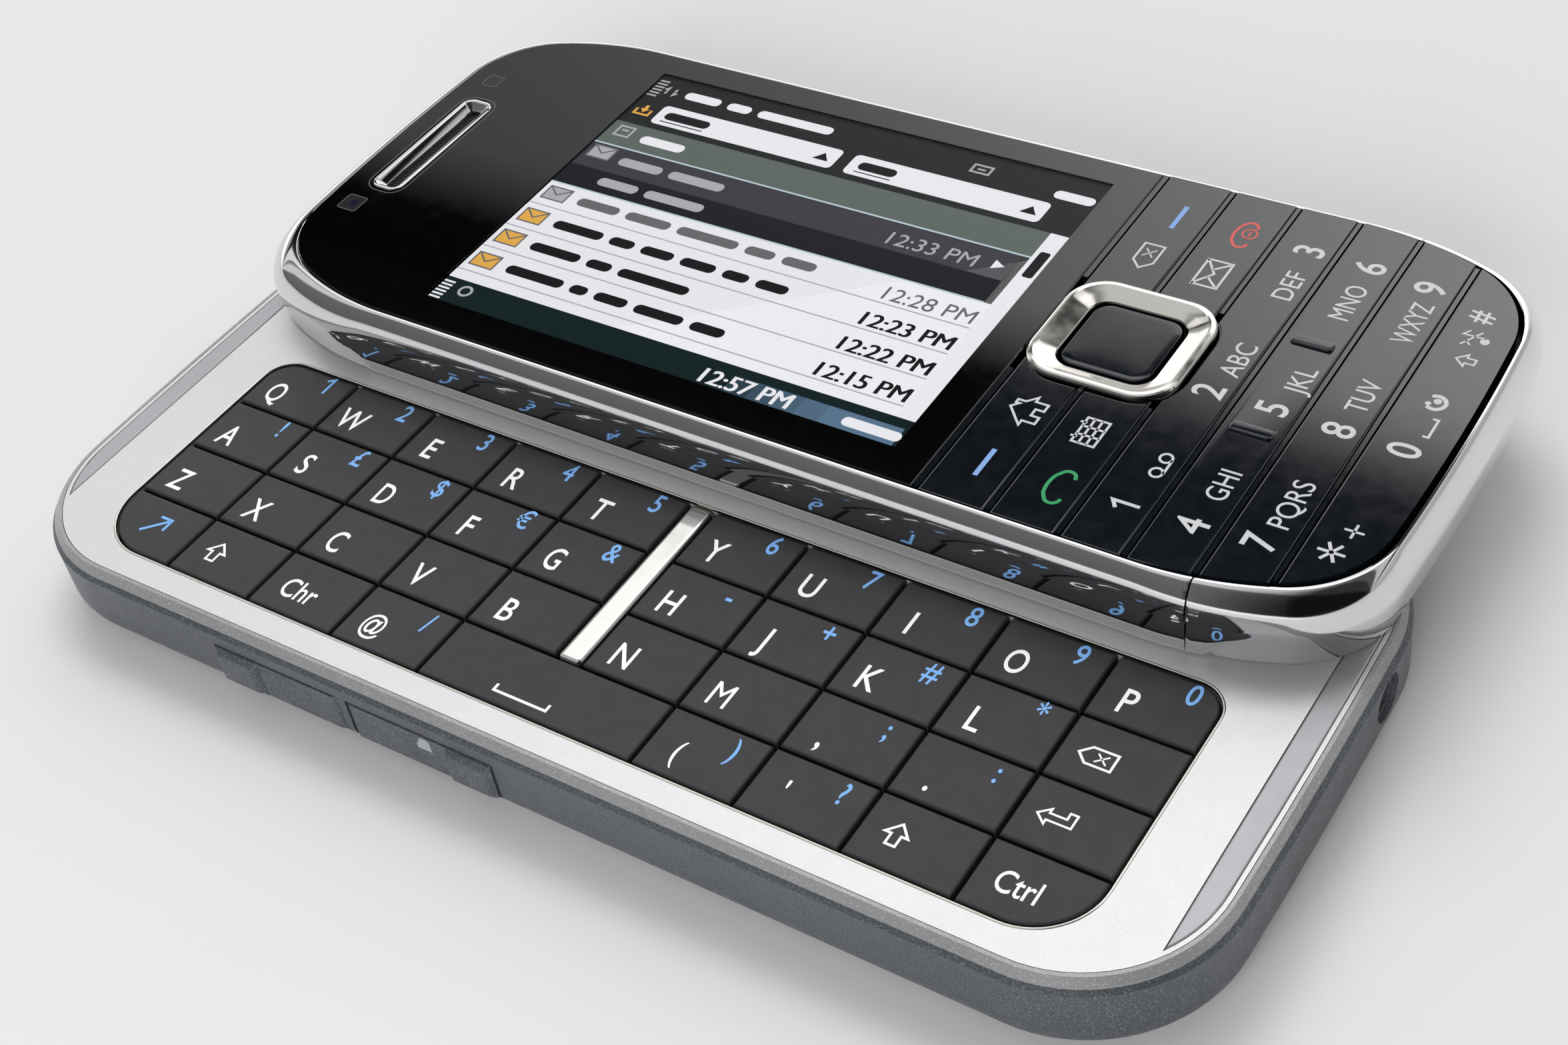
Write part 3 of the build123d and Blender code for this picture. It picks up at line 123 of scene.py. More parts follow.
def new_material(name):
    """An empty material with its graph and its principled shader."""
    material = bpy.data.materials.new(name)
    graph = Graph(material)
    return material, graph, graph.nodes["Principled BSDF"]


# ---------- kinds of surface

COLOUR_DETAIL = 4.0  # octaves of the noise that drifts the colour
GLOSS_DETAIL = 5.0
GRAIN_DETAIL = 2.0
GLOSS_CELLS = 7  # cells of the gloss noise to one of the colour noise
SPECKLE_ROUGH = 0.7
SPECKLE_CORE = 0.6  # share of a speckle's range at which it has its full colour
PICTURE_CELLS = 1150  # scale of the display's fine grid
SMEAR_TINT = 0.985  # how much of the glass's tint a smear lets through
SMEAR_CELLS = 60


def surface(name, colour, rough, metal=0.0, grain=0, spread=0.06, bump=0.0, depth=0.01,
            rough_spread=0.05, cloud=90, squeeze=(1, 1, 1), ior=1.5, speckle=None):
    """A finish: its colour and gloss drift softly, and a fine grain gives the close-up texture.

    grain and cloud count noise cells per metre, and depth is the grain's in mm. speckle is
    (cells per metre, colour, share).
    """
    material, graph, shader = new_material(name)
    darker = [channel * (1 - spread) for channel in colour]
    lighter = [min(1.0, channel * (1 + spread)) for channel in colour]
    soft = graph.spread(graph.noise(cloud, COLOUR_DETAIL), 0, 1)
    base = graph.mix("RGBA", soft, (*darker, 1), (*lighter, 1))
    gloss = graph.noise(cloud * GLOSS_CELLS, GLOSS_DETAIL, squeeze=squeeze)
    if speckle:
        cells, tint, share = speckle
        dots = graph.noise(cells, GRAIN_DETAIL, SPECKLE_ROUGH)
        mask = graph.spread(dots, 0, 1, 1 - share, 1 - share * SPECKLE_CORE)
        base = graph.mix("RGBA", mask, base, (*tint, 1))
    roughness = graph.spread(gloss, max(0.0, rough - rough_spread), rough + rough_spread)
    graph.feed(shader, {"Base Color": base, "Roughness": roughness, "Metallic": metal, "IOR": ior})
    if bump:
        height = graph.noise(grain, GRAIN_DETAIL, squeeze=squeeze)
        relief = {"Height": height, "Strength": bump, "Distance": depth * MM}
        graph.feed(shader, {"Normal": graph.add("Bump", "Normal", relief)})
    return material


def printed(name, colour):
    """Screen-printed ink: slightly uneven and matt."""
    return surface(name, colour, 0.5, grain=9000, bump=0.25, depth=0.004, spread=0.03)


def glowing(name, colour, stripes):
    """A lit area of the display, with the faint grid of its picture elements, darker by stripes."""
    material, graph, shader = new_material(name)
    wave = {"Vector": graph.add("TexCoord", "Object", {}), "Scale": PICTURE_CELLS, "Distortion": 0.0}
    dim = [channel * (1 - stripes) for channel in colour]
    tone = graph.mix("RGBA", graph.add("TexWave", "Fac", wave), (*dim, 1), (*colour, 1))
    graph.feed(shader, {"Base Color": (0.002, 0.002, 0.002, 1), "Roughness": 0.6, "Specular IOR Level": 0.0,
                        "Emission Strength": 1.0, "Emission Color": tone})
    return material


def clear_glass(name, tint, ior):
    """Coated clear glass; a trace of smear changes its tint, not its polish."""
    material, graph, shader = new_material(name)
    smear = graph.spread(graph.noise(SMEAR_CELLS, GLOSS_DETAIL), 0, 1)
    darker = [channel * SMEAR_TINT for channel in tint]
    colour = graph.mix("RGBA", smear, (*tint, 1), (*darker, 1))
    graph.feed(shader, {"Base Color": colour, "Transmission Weight": 1.0, "Roughness": 0.0, "IOR": ior})
    return material


# ---------- finishes, one for each material slot

def speckled_pad(name, rough, ior):
    """Gloss blue-black plastic with a fine sparkle."""
    return surface(name, (0.003, 0.0045, 0.007), rough, spread=0.1, rough_spread=0.02, ior=ior,
                   speckle=(14000, (0.012, 0.017, 0.026), 0.3))


def steel(name, colour, rough, bump, squeeze):
    """Brushed steel, its grain drawn out along the part's X axis."""
    return surface(name, colour, rough, 1.0, grain=2600, bump=bump, squeeze=(1, squeeze, 1))


FINISHES = {
    "frame_chrome": surface("chrome", (0.74, 0.74, 0.75), 0.06, 1.0, spread=0.015, rough_spread=0.02,
                            cloud=40),
    "nav_metal": surface("warm_polished_metal", (0.7, 0.68, 0.64), 0.13, 1.0, grain=9000, spread=0.03,
                         bump=0.12, depth=0.005, rough_spread=0.04,
                         speckle=(9000, (0.85, 0.84, 0.82), 0.4)),
    "polished_bar": surface("polished_bar", (0.62, 0.61, 0.59), 0.1, 1.0, spread=0.02, rough_spread=0.03),
    "deck": surface("satin_silver", (0.68, 0.68, 0.69), 0.36, 0.6, grain=14000, spread=0.01, bump=0.3,
                    depth=0.006, rough_spread=0.02, speckle=(9000, (0.8, 0.8, 0.8), 0.45)),
    "end_strip": surface("strip_silver", (0.42, 0.425, 0.44), 0.38, 0.6, grain=12000, spread=0.02,
                         bump=0.25, depth=0.006),
    "rim": surface("blasted_rim", (0.3, 0.305, 0.31), 0.34, 0.4, grain=9000, spread=0.08, bump=0.6,
                   depth=0.012, speckle=(7000, (0.55, 0.55, 0.53), 0.45)),
    "housing": surface("dark_metallic_housing", (0.078, 0.085, 0.094), 0.42, 0.35, grain=9000, spread=0.12,
                       bump=0.5, depth=0.008, speckle=(7000, (0.2, 0.212, 0.225), 0.5)),
    "keycap": surface("charcoal_keycap", (0.026, 0.026, 0.028), 0.55, grain=12000, spread=0.05, bump=0.35,
                      depth=0.008),
    "keymat": surface("keymat_rubber", (0.008, 0.008, 0.008), 0.75, grain=4000, bump=0.3),
    "window_black": surface("gloss_black", (0.0008, 0.0008, 0.001), 0.04, spread=0.1, rough_spread=0.02,
                            ior=1.8),
    "keypad": speckled_pad("blue_black_pad", 0.07, 1.85),
    "display": surface("panel_black", (0.003, 0.003, 0.004), 0.2, spread=0.05, ior=1.2),
    "lens": clear_glass("display_cover_glass", (0.99, 0.99, 0.99), 1.14),
    "inner_metal": steel("stamped_steel", (0.5, 0.51, 0.52), 0.3, 0.2, 14),
    "door_metal": steel("door_steel", (0.36, 0.37, 0.38), 0.33, 0.25, 16),
    "inner_plastic": surface("inner_plastic", (0.045, 0.045, 0.048), 0.5, grain=6000, bump=0.35),
    "board": surface("solder_mask", (0.015, 0.075, 0.04), 0.35, grain=3000, bump=0.2,
                     speckle=(1400, (0.4, 0.3, 0.12), 0.3)),
    "battery_skin": surface("battery_wrap", (0.4, 0.41, 0.43), 0.4, grain=2500, bump=0.2),
    "camera_glass": surface("camera_glass", (0.008, 0.008, 0.01), 0.03, grain=900, bump=0.01,
                            rough_spread=0.02),
}
# Finishes of single pieces that differ from their slot's.
BEAD_METAL = surface("opening_bead", (0.72, 0.73, 0.66), 0.2, 1.0, grain=9000, spread=0.03, bump=0.1)
SELECT_GLOSS = speckled_pad("select_gloss", 0.09, 1.6)
DARK_MESH = surface("dark_mesh", (0.02, 0.02, 0.02), 0.5, 0.4, grain=9000, bump=0.4)
PANE_DARK = surface("front_pane", (0.02, 0.02, 0.022), 0.05, grain=900, bump=0.01, rough_spread=0.02)
PANE_EDGE = surface("pane_edge", (0.09, 0.09, 0.09), 0.2, grain=3000, bump=0.05)
PUPIL = surface("pupil", (0.01, 0.012, 0.03), 0.03, grain=900, bump=0.01, rough_spread=0.01, ior=1.7)

INK_COLOURS = {
    "key_white": (0.78, 0.78, 0.78), "key_blue": (0.17, 0.38, 0.74), "pad_white": (0.47, 0.48, 0.49),
    "pad_blue": (0.17, 0.31, 0.6), "pad_green": (0.004, 0.24, 0.075), "pad_red": (0.52, 0.075, 0.06),
    "flap_ink": (0.3, 0.31, 0.32),
}
# Colour of each lit area, and how much darker its stripes are.
LIT_COLOURS = {
    "bar": ((0.013, 0.015, 0.016), 0.2), "band": ((0.115, 0.14, 0.128), 0.1),
    "edge": ((0.5, 0.62, 0.66), 0.1), "pick": ((0.045, 0.045, 0.055), 0.15),
    "pick_low": ((0.014, 0.014, 0.02), 0.2), "rule": ((0.42, 0.44, 0.52), 0.1),
    "white": ((0.84, 0.84, 0.88), 0.05), "soft": ((0.42, 0.43, 0.45), 0.1),
    "grey": ((0.15, 0.15, 0.16), 0.1), "ink": ((0.014, 0.014, 0.016), 0.2),
    "orange": ((0.78, 0.42, 0.08), 0.1), "foot": ((0.009, 0.02, 0.022), 0.2),
}
GLOW_LAST = 5  # number of the brightest step of the glow in the display's foot
GLOW_RISE = (0.1, 0.17, 0.27)
for number in range(GLOW_LAST + 1):
    rise = [number / GLOW_LAST * channel for channel in GLOW_RISE]
    tone = [dark + more for dark, more in zip(LIT_COLOURS["foot"][0], rise)]
    LIT_COLOURS[f"glow_{number}"] = (tone, 0.15)

INKS = {name: printed(name, colour) for name, colour in INK_COLOURS.items()}
INKS.update({f"screen_{name}": glowing(f"screen_{name}", *look) for name, look in LIT_COLOURS.items()})


def finish_nodes():
    """Gives every piece of the frame the finish of its material slot."""
    slots = {part["node"]: part["material_slot"] for part in frame["record"]["subparts"]}
    for name, node in NODES.items():
        finish = FINISHES[slots[name]]
        if not node.material_slots:
            node.data.materials.append(finish)
        for slot in node.material_slots:
            slot.material = finish


# ---------- mesh helpers

MITRE_LIMIT = 0.4  # keeps a ribbon's outer corner from running out too far
SMOOTH_ANGLE = 35  # degrees; sharper edges stay sharp
RING_SPAN = 345  # degrees from the first point of a ring to its last
DOT_SPAN = 324
DOT_STEPS = 9


def to_mesh(bm, name):
    bmesh.ops.recalc_face_normals(bm, faces=bm.faces)
    mesh = bpy.data.meshes.new(name)
    bm.to_mesh(mesh)
    bm.free()
    return mesh


def add_piece(name, bm, slot, *replaced, body="slider", finish=None, smooth=SMOOTH_ANGLE):
    """Puts a mesh in the scene, riding on a body, in its slot's finish or in one of its own."""
    mesh = to_mesh(bm, name)
    for polygon in mesh.polygons:
        polygon.use_smooth = True
    mesh.set_sharp_from_angle(angle=radians(smooth))
    mesh.materials.append(finish or FINISHES[slot])
    piece = bpy.data.objects.new(name, mesh)
    bpy.context.scene.collection.objects.link(piece)
    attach(piece, body)
    if replaced:
        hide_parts(*replaced)


def add_wall(bm, low, high):
    """Faces between two closed rings of vertices."""
    for i in range(len(low)):
        j = (i + 1) % len(low)
        bm.faces.new((low[i], low[j], high[j], high[i]))


def loft(rings, closed=True):
    """Skin through rings of points; closed joins the last ring to the first, otherwise both are filled."""
    bm = bmesh.new()
    rows = [[bm.verts.new(point) for point in ring] for ring in rings]
    for low, high in zip(rows, rows[1:] + rows[:1] if closed else rows[1:]):
        add_wall(bm, low, high)
    if not closed:
        bm.faces.new(rows[0])
        bm.faces.new(rows[-1])
    return bm


def add_prism(bm, points, z0, z1):
    """Closed flat piece over an outline of (x, y) points."""
    low, high = [[bm.verts.new((x, y, z)) for x, y in points] for z in (z0, z1)]
    bm.faces.new(low[::-1])
    bm.faces.new(high)
    add_wall(bm, low, high)


def step_between(start, end):
    """Unit vector from one point to another."""
    length = hypot(end[0] - start[0], end[1] - start[1])
    return (end[0] - start[0]) / length, (end[1] - start[1]) / length


def add_ribbon(bm, points, width, z0, z1, closed=False):
    """Line of even width through (x, y) points, as a closed flat piece."""
    sections = []
    for i, (x, y) in enumerate(points):
        before = [points[i - 1]] if closed or i > 0 else []
        after = [points[(i + 1) % len(points)]] if closed or i + 1 < len(points) else []
        path = [*before, (x, y), *after]
        across = [(-sy, sx) for sx, sy in map(step_between, path, path[1:])]
        nx, ny = sum(n[0] for n in across), sum(n[1] for n in across)
        size = hypot(nx, ny)
        nx, ny = nx / size, ny / size
        stretch = width / 2 / max(MITRE_LIMIT, nx * across[0][0] + ny * across[0][1])
        one, two = [(x + nx * reach, y + ny * reach) for reach in (stretch, -stretch)]
        corners = ((one, z0), (one, z1), (two, z1), (two, z0))
        sections.append([bm.verts.new((*end, z)) for end, z in corners])
    for one, two in zip(sections, sections[1:] + sections[:1] if closed else sections[1:]):
        add_wall(bm, one, two)
    if not closed:
        bm.faces.new(sections[0])
        bm.faces.new(sections[-1][::-1])


def add_plate(name, outline, z0, z1, slot, *replaced, finish=None):
    """A flat piece of the slider."""
    bm = bmesh.new()
    add_prism(bm, outline, z0, z1)
    add_piece(name, bm, slot, *replaced, finish=finish)


def arc(cx, cy, radius, start, end, steps):
    """Points on an arc; angles in degrees."""
    angles = [radians(start + (end - start) * i / steps) for i in range(steps + 1)]
    return [(cx + radius * cos(a), cy + radius * sin(a)) for a in angles]


def ring(cx, cy, radius, steps):
    """Points round a circle; the closed line runs on from the last one to the first."""
    return arc(cx, cy, radius, 0, RING_SPAN, steps)


def dot(cx, cy, radius):
    """Even points round a small filled circle."""
    return arc(cx, cy, radius, 0, DOT_SPAN, DOT_STEPS)


def rectangle(x0, x1, y0, y1):
    return [(x0, y0), (x1, y0), (x1, y1), (x0, y1)]


def rounded(x0, x1, y0, y1, radius, steps):
    """Outline of a rectangle with round corners."""
    corners = ((x1 - radius, y1 - radius), (x0 + radius, y1 - radius), (x0 + radius, y0 + radius),
               (x1 - radius, y0 + radius))
    points = []
    for k, (cx, cy) in enumerate(corners):
        points += arc(cx, cy, radius, 90 * k, 90 * k + 90, steps)
    return points


# ---------- lettering

GLYPH_STEPS = 5  # on each curved piece of a letter's outline


class Print:
    """Collects thin printed marks, one mesh for each body and ink."""

    THICK = 0.012 * MM
    sheets = {}

    @classmethod
    def sheet(cls, body, ink):
        return cls.sheets.setdefault((body, ink), bmesh.new())

    @classmethod
    def finish(cls):
        for (body, ink), bm in cls.sheets.items():
            slot = INK_SLOTS.get(body, "keycap")
            add_piece(f"print_{ink}_{body}", bm, slot, body=body, finish=INKS[ink])


def glyph_mesh(text, size, swell=0.0):
    """Flat letters of a font size, their strokes swollen by a length, centred on their own middle."""
    curve = bpy.data.curves.new("glyph", "FONT")
    curve.body = text
    curve.size = size
    curve.align_x = "CENTER"
    curve.offset = swell
    curve.extrude = Print.THICK
    curve.resolution_u = GLYPH_STEPS
    holder = bpy.data.objects.new("glyph", curve)
    mesh = bpy.data.meshes.new_from_object(holder)
    bpy.data.objects.remove(holder)
    bpy.data.curves.remove(curve)
    return mesh


CAPITAL_SHARE = max(v.co.y for v in glyph_mesh("H", 1.0).vertices)  # capital height over font size


def write(body, ink, text, place, height, turn=0.0, squeeze=1.0, bold=0.0, length=None):
    """Prints text with the middle of its capitals at a place (x, y, z) on a surface.

    bold swells the strokes by a share of the height, except in a text with M, whose inner corners
    would break. length, where given, is how long the text is made.
    """
    mesh = glyph_mesh(text, height / CAPITAL_SHARE, 0.0 if "M" in text else bold * height)
    if length:
        squeeze = length / (max(v.co.x for v in mesh.vertices) - min(v.co.x for v in mesh.vertices))
    middle = Matrix.Translation((0, -height / 2, 0))
    turned = Matrix.Translation(place) @ Matrix.Rotation(radians(turn), 4, "Z")
    mesh.transform(turned @ Matrix.Diagonal((squeeze, 1, 1, 1)) @ middle)
    Print.sheet(body, ink).from_mesh(mesh)
    bpy.data.meshes.remove(mesh)


class Mark:
    """Draws a pictogram's lines about a middle place (x, y, z) on a surface, scaled and turned."""

    def __init__(self, body, ink, place, size, turn, line):
        self.bm = Print.sheet(body, ink)
        self.x, self.y, z = place
        self.levels = z - Print.THICK, z + Print.THICK
        self.cos, self.sin = cos(radians(turn)) * size, sin(radians(turn)) * size
        self.line_width = line

    def at(self, points):
        return [(self.x + self.cos * x - self.sin * y, self.y + self.sin * x + self.cos * y)
                for x, y in points]

    def line(self, *points, closed=False, width=None):
        add_ribbon(self.bm, self.at(points), width or self.line_width, *self.levels, closed)

    def fill(self, *points):
        add_prism(self.bm, self.at(points), *self.levels)


# ---------- slider outline and chrome frame

SHOULDER_SETBACK = 11.5 * MM
SHOULDER_ANGLE = 20.0
SHOULDER_RADIUS = 28.0 * MM
CORNER_RADIUS = 9.0 * MM
END_RADIUS = 226.0 * MM
OUTLINE_STEPS = (20, 30, 24)  # on the shoulder, the corner and half of the bowed end
SIDE_STEPS = 170  # on each straight side
FRAME_WIDTHS = (2.75 * MM, 1.5 * MM, 1.2 * MM)  # left end, sides, right end
CREASE_HEIGHT = 3.25 * MM
CROWN_HEIGHT = FRAME_TOP - UNDERSIDE - CREASE_HEIGHT
CROWN_POWER = 1.62
FRAME_TUCK = 0.45 * MM
TUCK_POWER = 1.3
SEAM_HALF = 0.06 * MM
SEAM_BEVEL = 0.07 * MM
SEAM_STEPS = 2


def end_points(reach, half_width):
    """One end of the outline towards +X: lower side, corner, bowed end, corner, upper side."""
    tilt = radians(SHOULDER_ANGLE)
    slope = Vector((cos(tilt), -sin(tilt)))
    inside = Vector((-sin(tilt), -cos(tilt)))
    shoulder = Vector((reach - SHOULDER_SETBACK, half_width))
    centre = Vector((reach - END_RADIUS, 0))
    offset = shoulder + CORNER_RADIUS * inside - centre
    along = offset.dot(slope)
    run = -along + sqrt(along ** 2 - offset.dot(offset) + (END_RADIUS - CORNER_RADIUS) ** 2)
    corner = shoulder + run * slope + CORNER_RADIUS * inside
    turn = degrees(atan2(corner.y, corner.x - centre.x))
    shoulder_x = shoulder.x - SHOULDER_RADIUS * tan(tilt / 2)
    shoulder_y = half_width - SHOULDER_RADIUS
    top = arc(shoulder_x, shoulder_y, SHOULDER_RADIUS, 90, 90 - SHOULDER_ANGLE, OUTLINE_STEPS[0])
    top += arc(corner.x, corner.y, CORNER_RADIUS, 90 - SHOULDER_ANGLE, turn, OUTLINE_STEPS[1])[1:]
    top += arc(centre.x, 0, END_RADIUS, turn, 0, OUTLINE_STEPS[2])[1:]
    return [(x, -y) for x, y in top[:-1]] + top[::-1]


def side_points(start, end):
    return [(start[0] + (end[0] - start[0]) * k / SIDE_STEPS, start[1]) for k in range(1, SIDE_STEPS)]


def slider_outline(inward, along=0.0):
    """Closed outline of the slider, inward from 0 at its widest line to 1 at the frame's inner edge.

    along sets the outline in by a length more, all round. Each call gives as many points.
    """
    left, side, right = [width * inward + along for width in FRAME_WIDTHS]
    half = OUTLINE_HALF - side
    right_end = end_points(OUTLINE_RIGHT - right, half)
    left_end = [(-x, -y) for x, y in end_points(OUTLINE_LEFT - left, half)]
    points = right_end + side_points(right_end[-1], left_end[0])
    points += left_end + side_points(left_end[-1], right_end[0])
    return [(x, y + SLIDER_Y) for x, y in points]


FACET_LEFT = (-41.0 * MM, -37.4 * MM)  # where the side facet ends, at its top and at its bottom
FACET_RIGHT = (46.3 * MM, 42.9 * MM)
FACET_TOP = 3.1 * MM
FACET_FOOT = 0.28 * MM
FACET_STEP = 0.2 * MM  # how much deeper the facet lies at its top than at its foot
FACET_DEPTH = 0.08 * MM
FACET_BLEND = 0.3 * MM
LIP_SHARE = 0.86  # where the crown's flat lip begins
LIP_RISE = 0.018 * MM
CURVE_SHARE = LIP_SHARE + 0.06  # where the crown's curve would be level, were it not for the lip


def lower_inset(x, height):
    """How far the frame's lower side lies inside the widest line, with the hollow facet at mid-length."""
    share = 1 - height / CREASE_HEIGHT
    plain = FRAME_TUCK * share ** TUCK_POWER
    if height > FACET_FOOT:
        hollow = FACET_DEPTH + FACET_STEP * ((height - FACET_FOOT) / (FACET_TOP - FACET_FOOT)) ** 2
    else:
        hollow = FACET_DEPTH + (FRAME_TUCK - FACET_DEPTH) * (1 - height / FACET_FOOT) ** 2
    left, right = [top + (bottom - top) * share for top, bottom in (FACET_LEFT, FACET_RIGHT)]
    weight = min(1.0, max(0.0, min(x - left, right - x) / FACET_BLEND + 0.5))
    if height > FACET_TOP:
        weight *= (CREASE_HEIGHT - height) / (CREASE_HEIGHT - FACET_TOP)
    return plain + (hollow - plain) * weight


def crown_curve(share):
    return (1 - (1 - share) ** CROWN_POWER) ** (1 / CROWN_POWER)


def crown_rise(inward):
    """Height of the crown above the widest line: a full curve, then a flat lip along the inner edge."""
    top = CROWN_HEIGHT - LIP_RISE
    if inward >= LIP_SHARE:
        run = (inward - LIP_SHARE) / (1 - LIP_SHARE)
        return top + LIP_RISE * (1 - (1 - run) ** 2)
    return top * crown_curve(inward / CURVE_SHARE) / crown_curve(LIP_SHARE / CURVE_SHARE)


# Heights of the rings on the frame's lower side in mm, closer together where it bends more.
LOWER_HEIGHTS = (0.0, 0.03, 0.07, 0.12, 0.19, 0.28, 0.45, 0.75, 1.05, 1.4, 1.75, 2.1, 2.45, 2.8, 3.0, 3.1,
                 3.13)
CROWN_STEPS = 16
CROWN_CROWDING = 1.2  # power that sets how the crown's rings are spaced
LIP_STEPS = 5
INNER_EDGE = ((0.03, 0.02), (0.05, 0.08))  # in past the lip and down from its top, mm


def frame_rings():
    """Rings of the chrome frame's skin, from the underside up over the crown and down the inner wall."""
    rings = []
    widest = slider_outline(0.0)
    for height in LOWER_HEIGHTS:
        ring = []
        for (x, y), before, after in zip(widest, widest[-1:] + widest, widest[1:] + widest[:1]):
            along_x, along_y = step_between(before, after)
            inset = lower_inset(x, height * MM)
            ring.append((x - along_y * inset, y + along_x * inset, UNDERSIDE + height * MM))
        rings.append(ring)
    turns = [pi / 2 * k / CROWN_STEPS for k in range(CROWN_STEPS)]
    inwards = [LIP_SHARE * (1 - cos(turn) ** CROWN_CROWDING) for turn in turns]
    inwards += [LIP_SHARE + (1 - LIP_SHARE) * k / LIP_STEPS for k in range(LIP_STEPS + 1)]
    crease = UNDERSIDE + CREASE_HEIGHT
    levels = [(slider_outline(inward), crease + crown_rise(inward)) for inward in inwards]
    levels += [(slider_outline(1.0, along * MM), FRAME_TOP - drop * MM) for along, drop in INNER_EDGE]
    levels.append((slider_outline(1.0, INNER_EDGE[-1][0] * MM), UNDERSIDE))
    return rings + [[(x, y, z) for x, y in outline] for outline, z in levels]


def cut_at_seam(bm, x, side):
    """Keeps one side of the plane at x, closes the cut and rounds its edges a little."""
    geometry = bm.verts[:] + bm.edges[:] + bm.faces[:]
    bmesh.ops.bisect_plane(bm, geom=geometry, plane_co=(x, 0, 0), plane_no=(side, 0, 0), clear_outer=True)
    open_edges = [edge for edge in bm.edges if edge.is_boundary]
    caps = bmesh.ops.holes_fill(bm, edges=open_edges, sides=0)["faces"]
    edges = list({edge for face in caps for edge in face.edges})
    bmesh.ops.bevel(bm, geom=edges, offset=SEAM_BEVEL, segments=SEAM_STEPS, profile=0.5, affect="EDGES",
                    clamp_overlap=True)


def build_frame():
    for name, side in (("slider_frame", 1), ("end_cap", -1)):
        bm = loft(frame_rings())
        cut_at_seam(bm, SEAM_X - side * SEAM_HALF, side)
        add_piece(f"chrome_{name}", bm, "frame_chrome", name, smooth=28)


# ---------- navigation ring and select key

# Rings as inset, corner radius and height over the top of the node's box, in mm.
FOOT = -inf  # a height that stands for the bottom of the box
RING_PROFILE = ((0.0, 3.4, FOOT), (0.0, 3.4, -0.46), (0.05, 3.36, -0.24), (0.16, 3.28, -0.1),
                (0.32, 3.16, -0.03), (0.5, 3.04, 0.0), (0.66, 2.92, -0.025), (0.74, 2.86, -0.06),
                (0.78, 2.83, -0.085), (1.4, 2.37, -0.31), (2.1, 1.85, -0.565), (2.22, 1.76, -0.62),
                (2.3, 1.72, -0.74), (2.32, 1.7, -1.2), (2.32, 1.7, FOOT))
RING_SIDE_SHARE = 0.88  # the ring's inset along Y as a share of that along X
SELECT_PROFILE = ((0.08, 1.5, FOOT), (0.08, 1.5, -0.65), (0.11, 1.46, -0.55), (0.18, 1.4, -0.49),
                  (0.28, 1.3, -0.47), (0.8, 1.0, -0.46), (2.0, 0.7, -0.453), (3.4, 0.3, -0.45))
CORNER_STEPS = 12


def dished_rings(node, profile, side_share=1.0):
    """Rounded-square rings in a node's box; side_share scales their inset along Y."""
    low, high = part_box(node)
    rings = []
    for inset, corner, height in profile:
        dx, dy = inset * MM, inset * side_share * MM
        outline = rounded(low.x + dx, high.x - dx, low.y + dy, high.y - dy, corner * MM, CORNER_STEPS)
        rings.append([(x, y, max(low.z, high.z + height * MM)) for x, y in outline])
    return rings


def build_nav():
    """Square ring with a narrow rounded rim and a wide dished slope, round a flat glossy key."""
    square = loft(dished_rings("nav_ring", RING_PROFILE, RING_SIDE_SHARE))
    add_piece("polished_nav_ring", square, "nav_metal", "nav_ring", body="nav_ring", smooth=14)
    key = loft(dished_rings("select_key", SELECT_PROFILE), closed=False)
    add_piece("glossy_select_key", key, "keypad", "select_key", body="select_key", finish=SELECT_GLOSS,
              smooth=30)


# ---------- ribs, ridges and flap lips

BARS = ("number_bar_1_2_3", "number_bar_4_5_6", "number_bar_7_8_9", "number_bar_star_0_hash")
RIB_SPACE = 0.08 * MM  # slit left on each side of a rib
RIB_DROP = 0.02 * MM
RIB_FOOT = 2.0 * MM  # how far a rib's foot lies above that of the keys
RIDGE_BEVEL = 0.3 * MM
RIDGE_LEAST = 0.01 * MM  # what stands out by more than this is a ridge
LIP_BEVEL = 0.24 * MM
LIP_LEAST = 0.05 * MM
FLAP_FACE = -25.1 * MM  # outer face of the flaps, between their lips
BEVEL_STEPS = 4
SHARP_EDGE = 30  # degrees
WELD = 0.001 * MM


def build_pad_ribs():
    """Gloss ribs of the window in the grooves between the number keys, so that only fine lines show."""
    near_keys = ("window", "soft_key_left", "call_key", BARS[0])
    far_keys = ("window", "soft_key_right", "end_key", BARS[0])
    rows = [(*pair, None, lowest("nav_ring").y) for pair in zip(near_keys, near_keys[1:])]
    rows += [(*pair, highest("nav_ring").y, None) for pair in zip(far_keys, far_keys[1:])]
    rows += [(*pair, None, None) for pair in zip(BARS, BARS[1:])]
    space = RIB_SPACE + RIB_DROP
    bm = bmesh.new()
    for left, right, near, far in rows:
        y0 = near or lowest(right).y + space
        y1 = far or highest(right).y - space
        outline = rectangle(highest(left).x + RIB_SPACE, lowest(right).x - RIB_SPACE, y0, y1)
        add_prism(bm, outline, lowest(right).z + RIB_FOOT, FACE_TOP - RIB_DROP)
    add_piece("pad_ribs", bm, "window_black", finish=FINISHES["keypad"])


def rounded_copy(node, slot, offset, chosen):
    """A node's mesh again, with its sharp edges rounded where chosen(point) is true for one end."""
    bm = bmesh.new()
    bm.from_mesh(NODES[node].data)
    bm.transform(NODES[node].matrix_world)
    bmesh.ops.remove_doubles(bm, verts=bm.verts, dist=WELD)
    sharp = [edge for edge in bm.edges if edge.calc_face_angle(0) > radians(SHARP_EDGE)]
    edges = [edge for edge in sharp if any(chosen(vert.co) for vert in edge.verts)]
    bmesh.ops.bevel(bm, geom=edges, offset=offset, offset_type="OFFSET", segments=BEVEL_STEPS, profile=0.5,
                    affect="EDGES", clamp_overlap=True)
    add_piece(f"rounded_{node}", bm, slot, node, body=node, smooth=25)


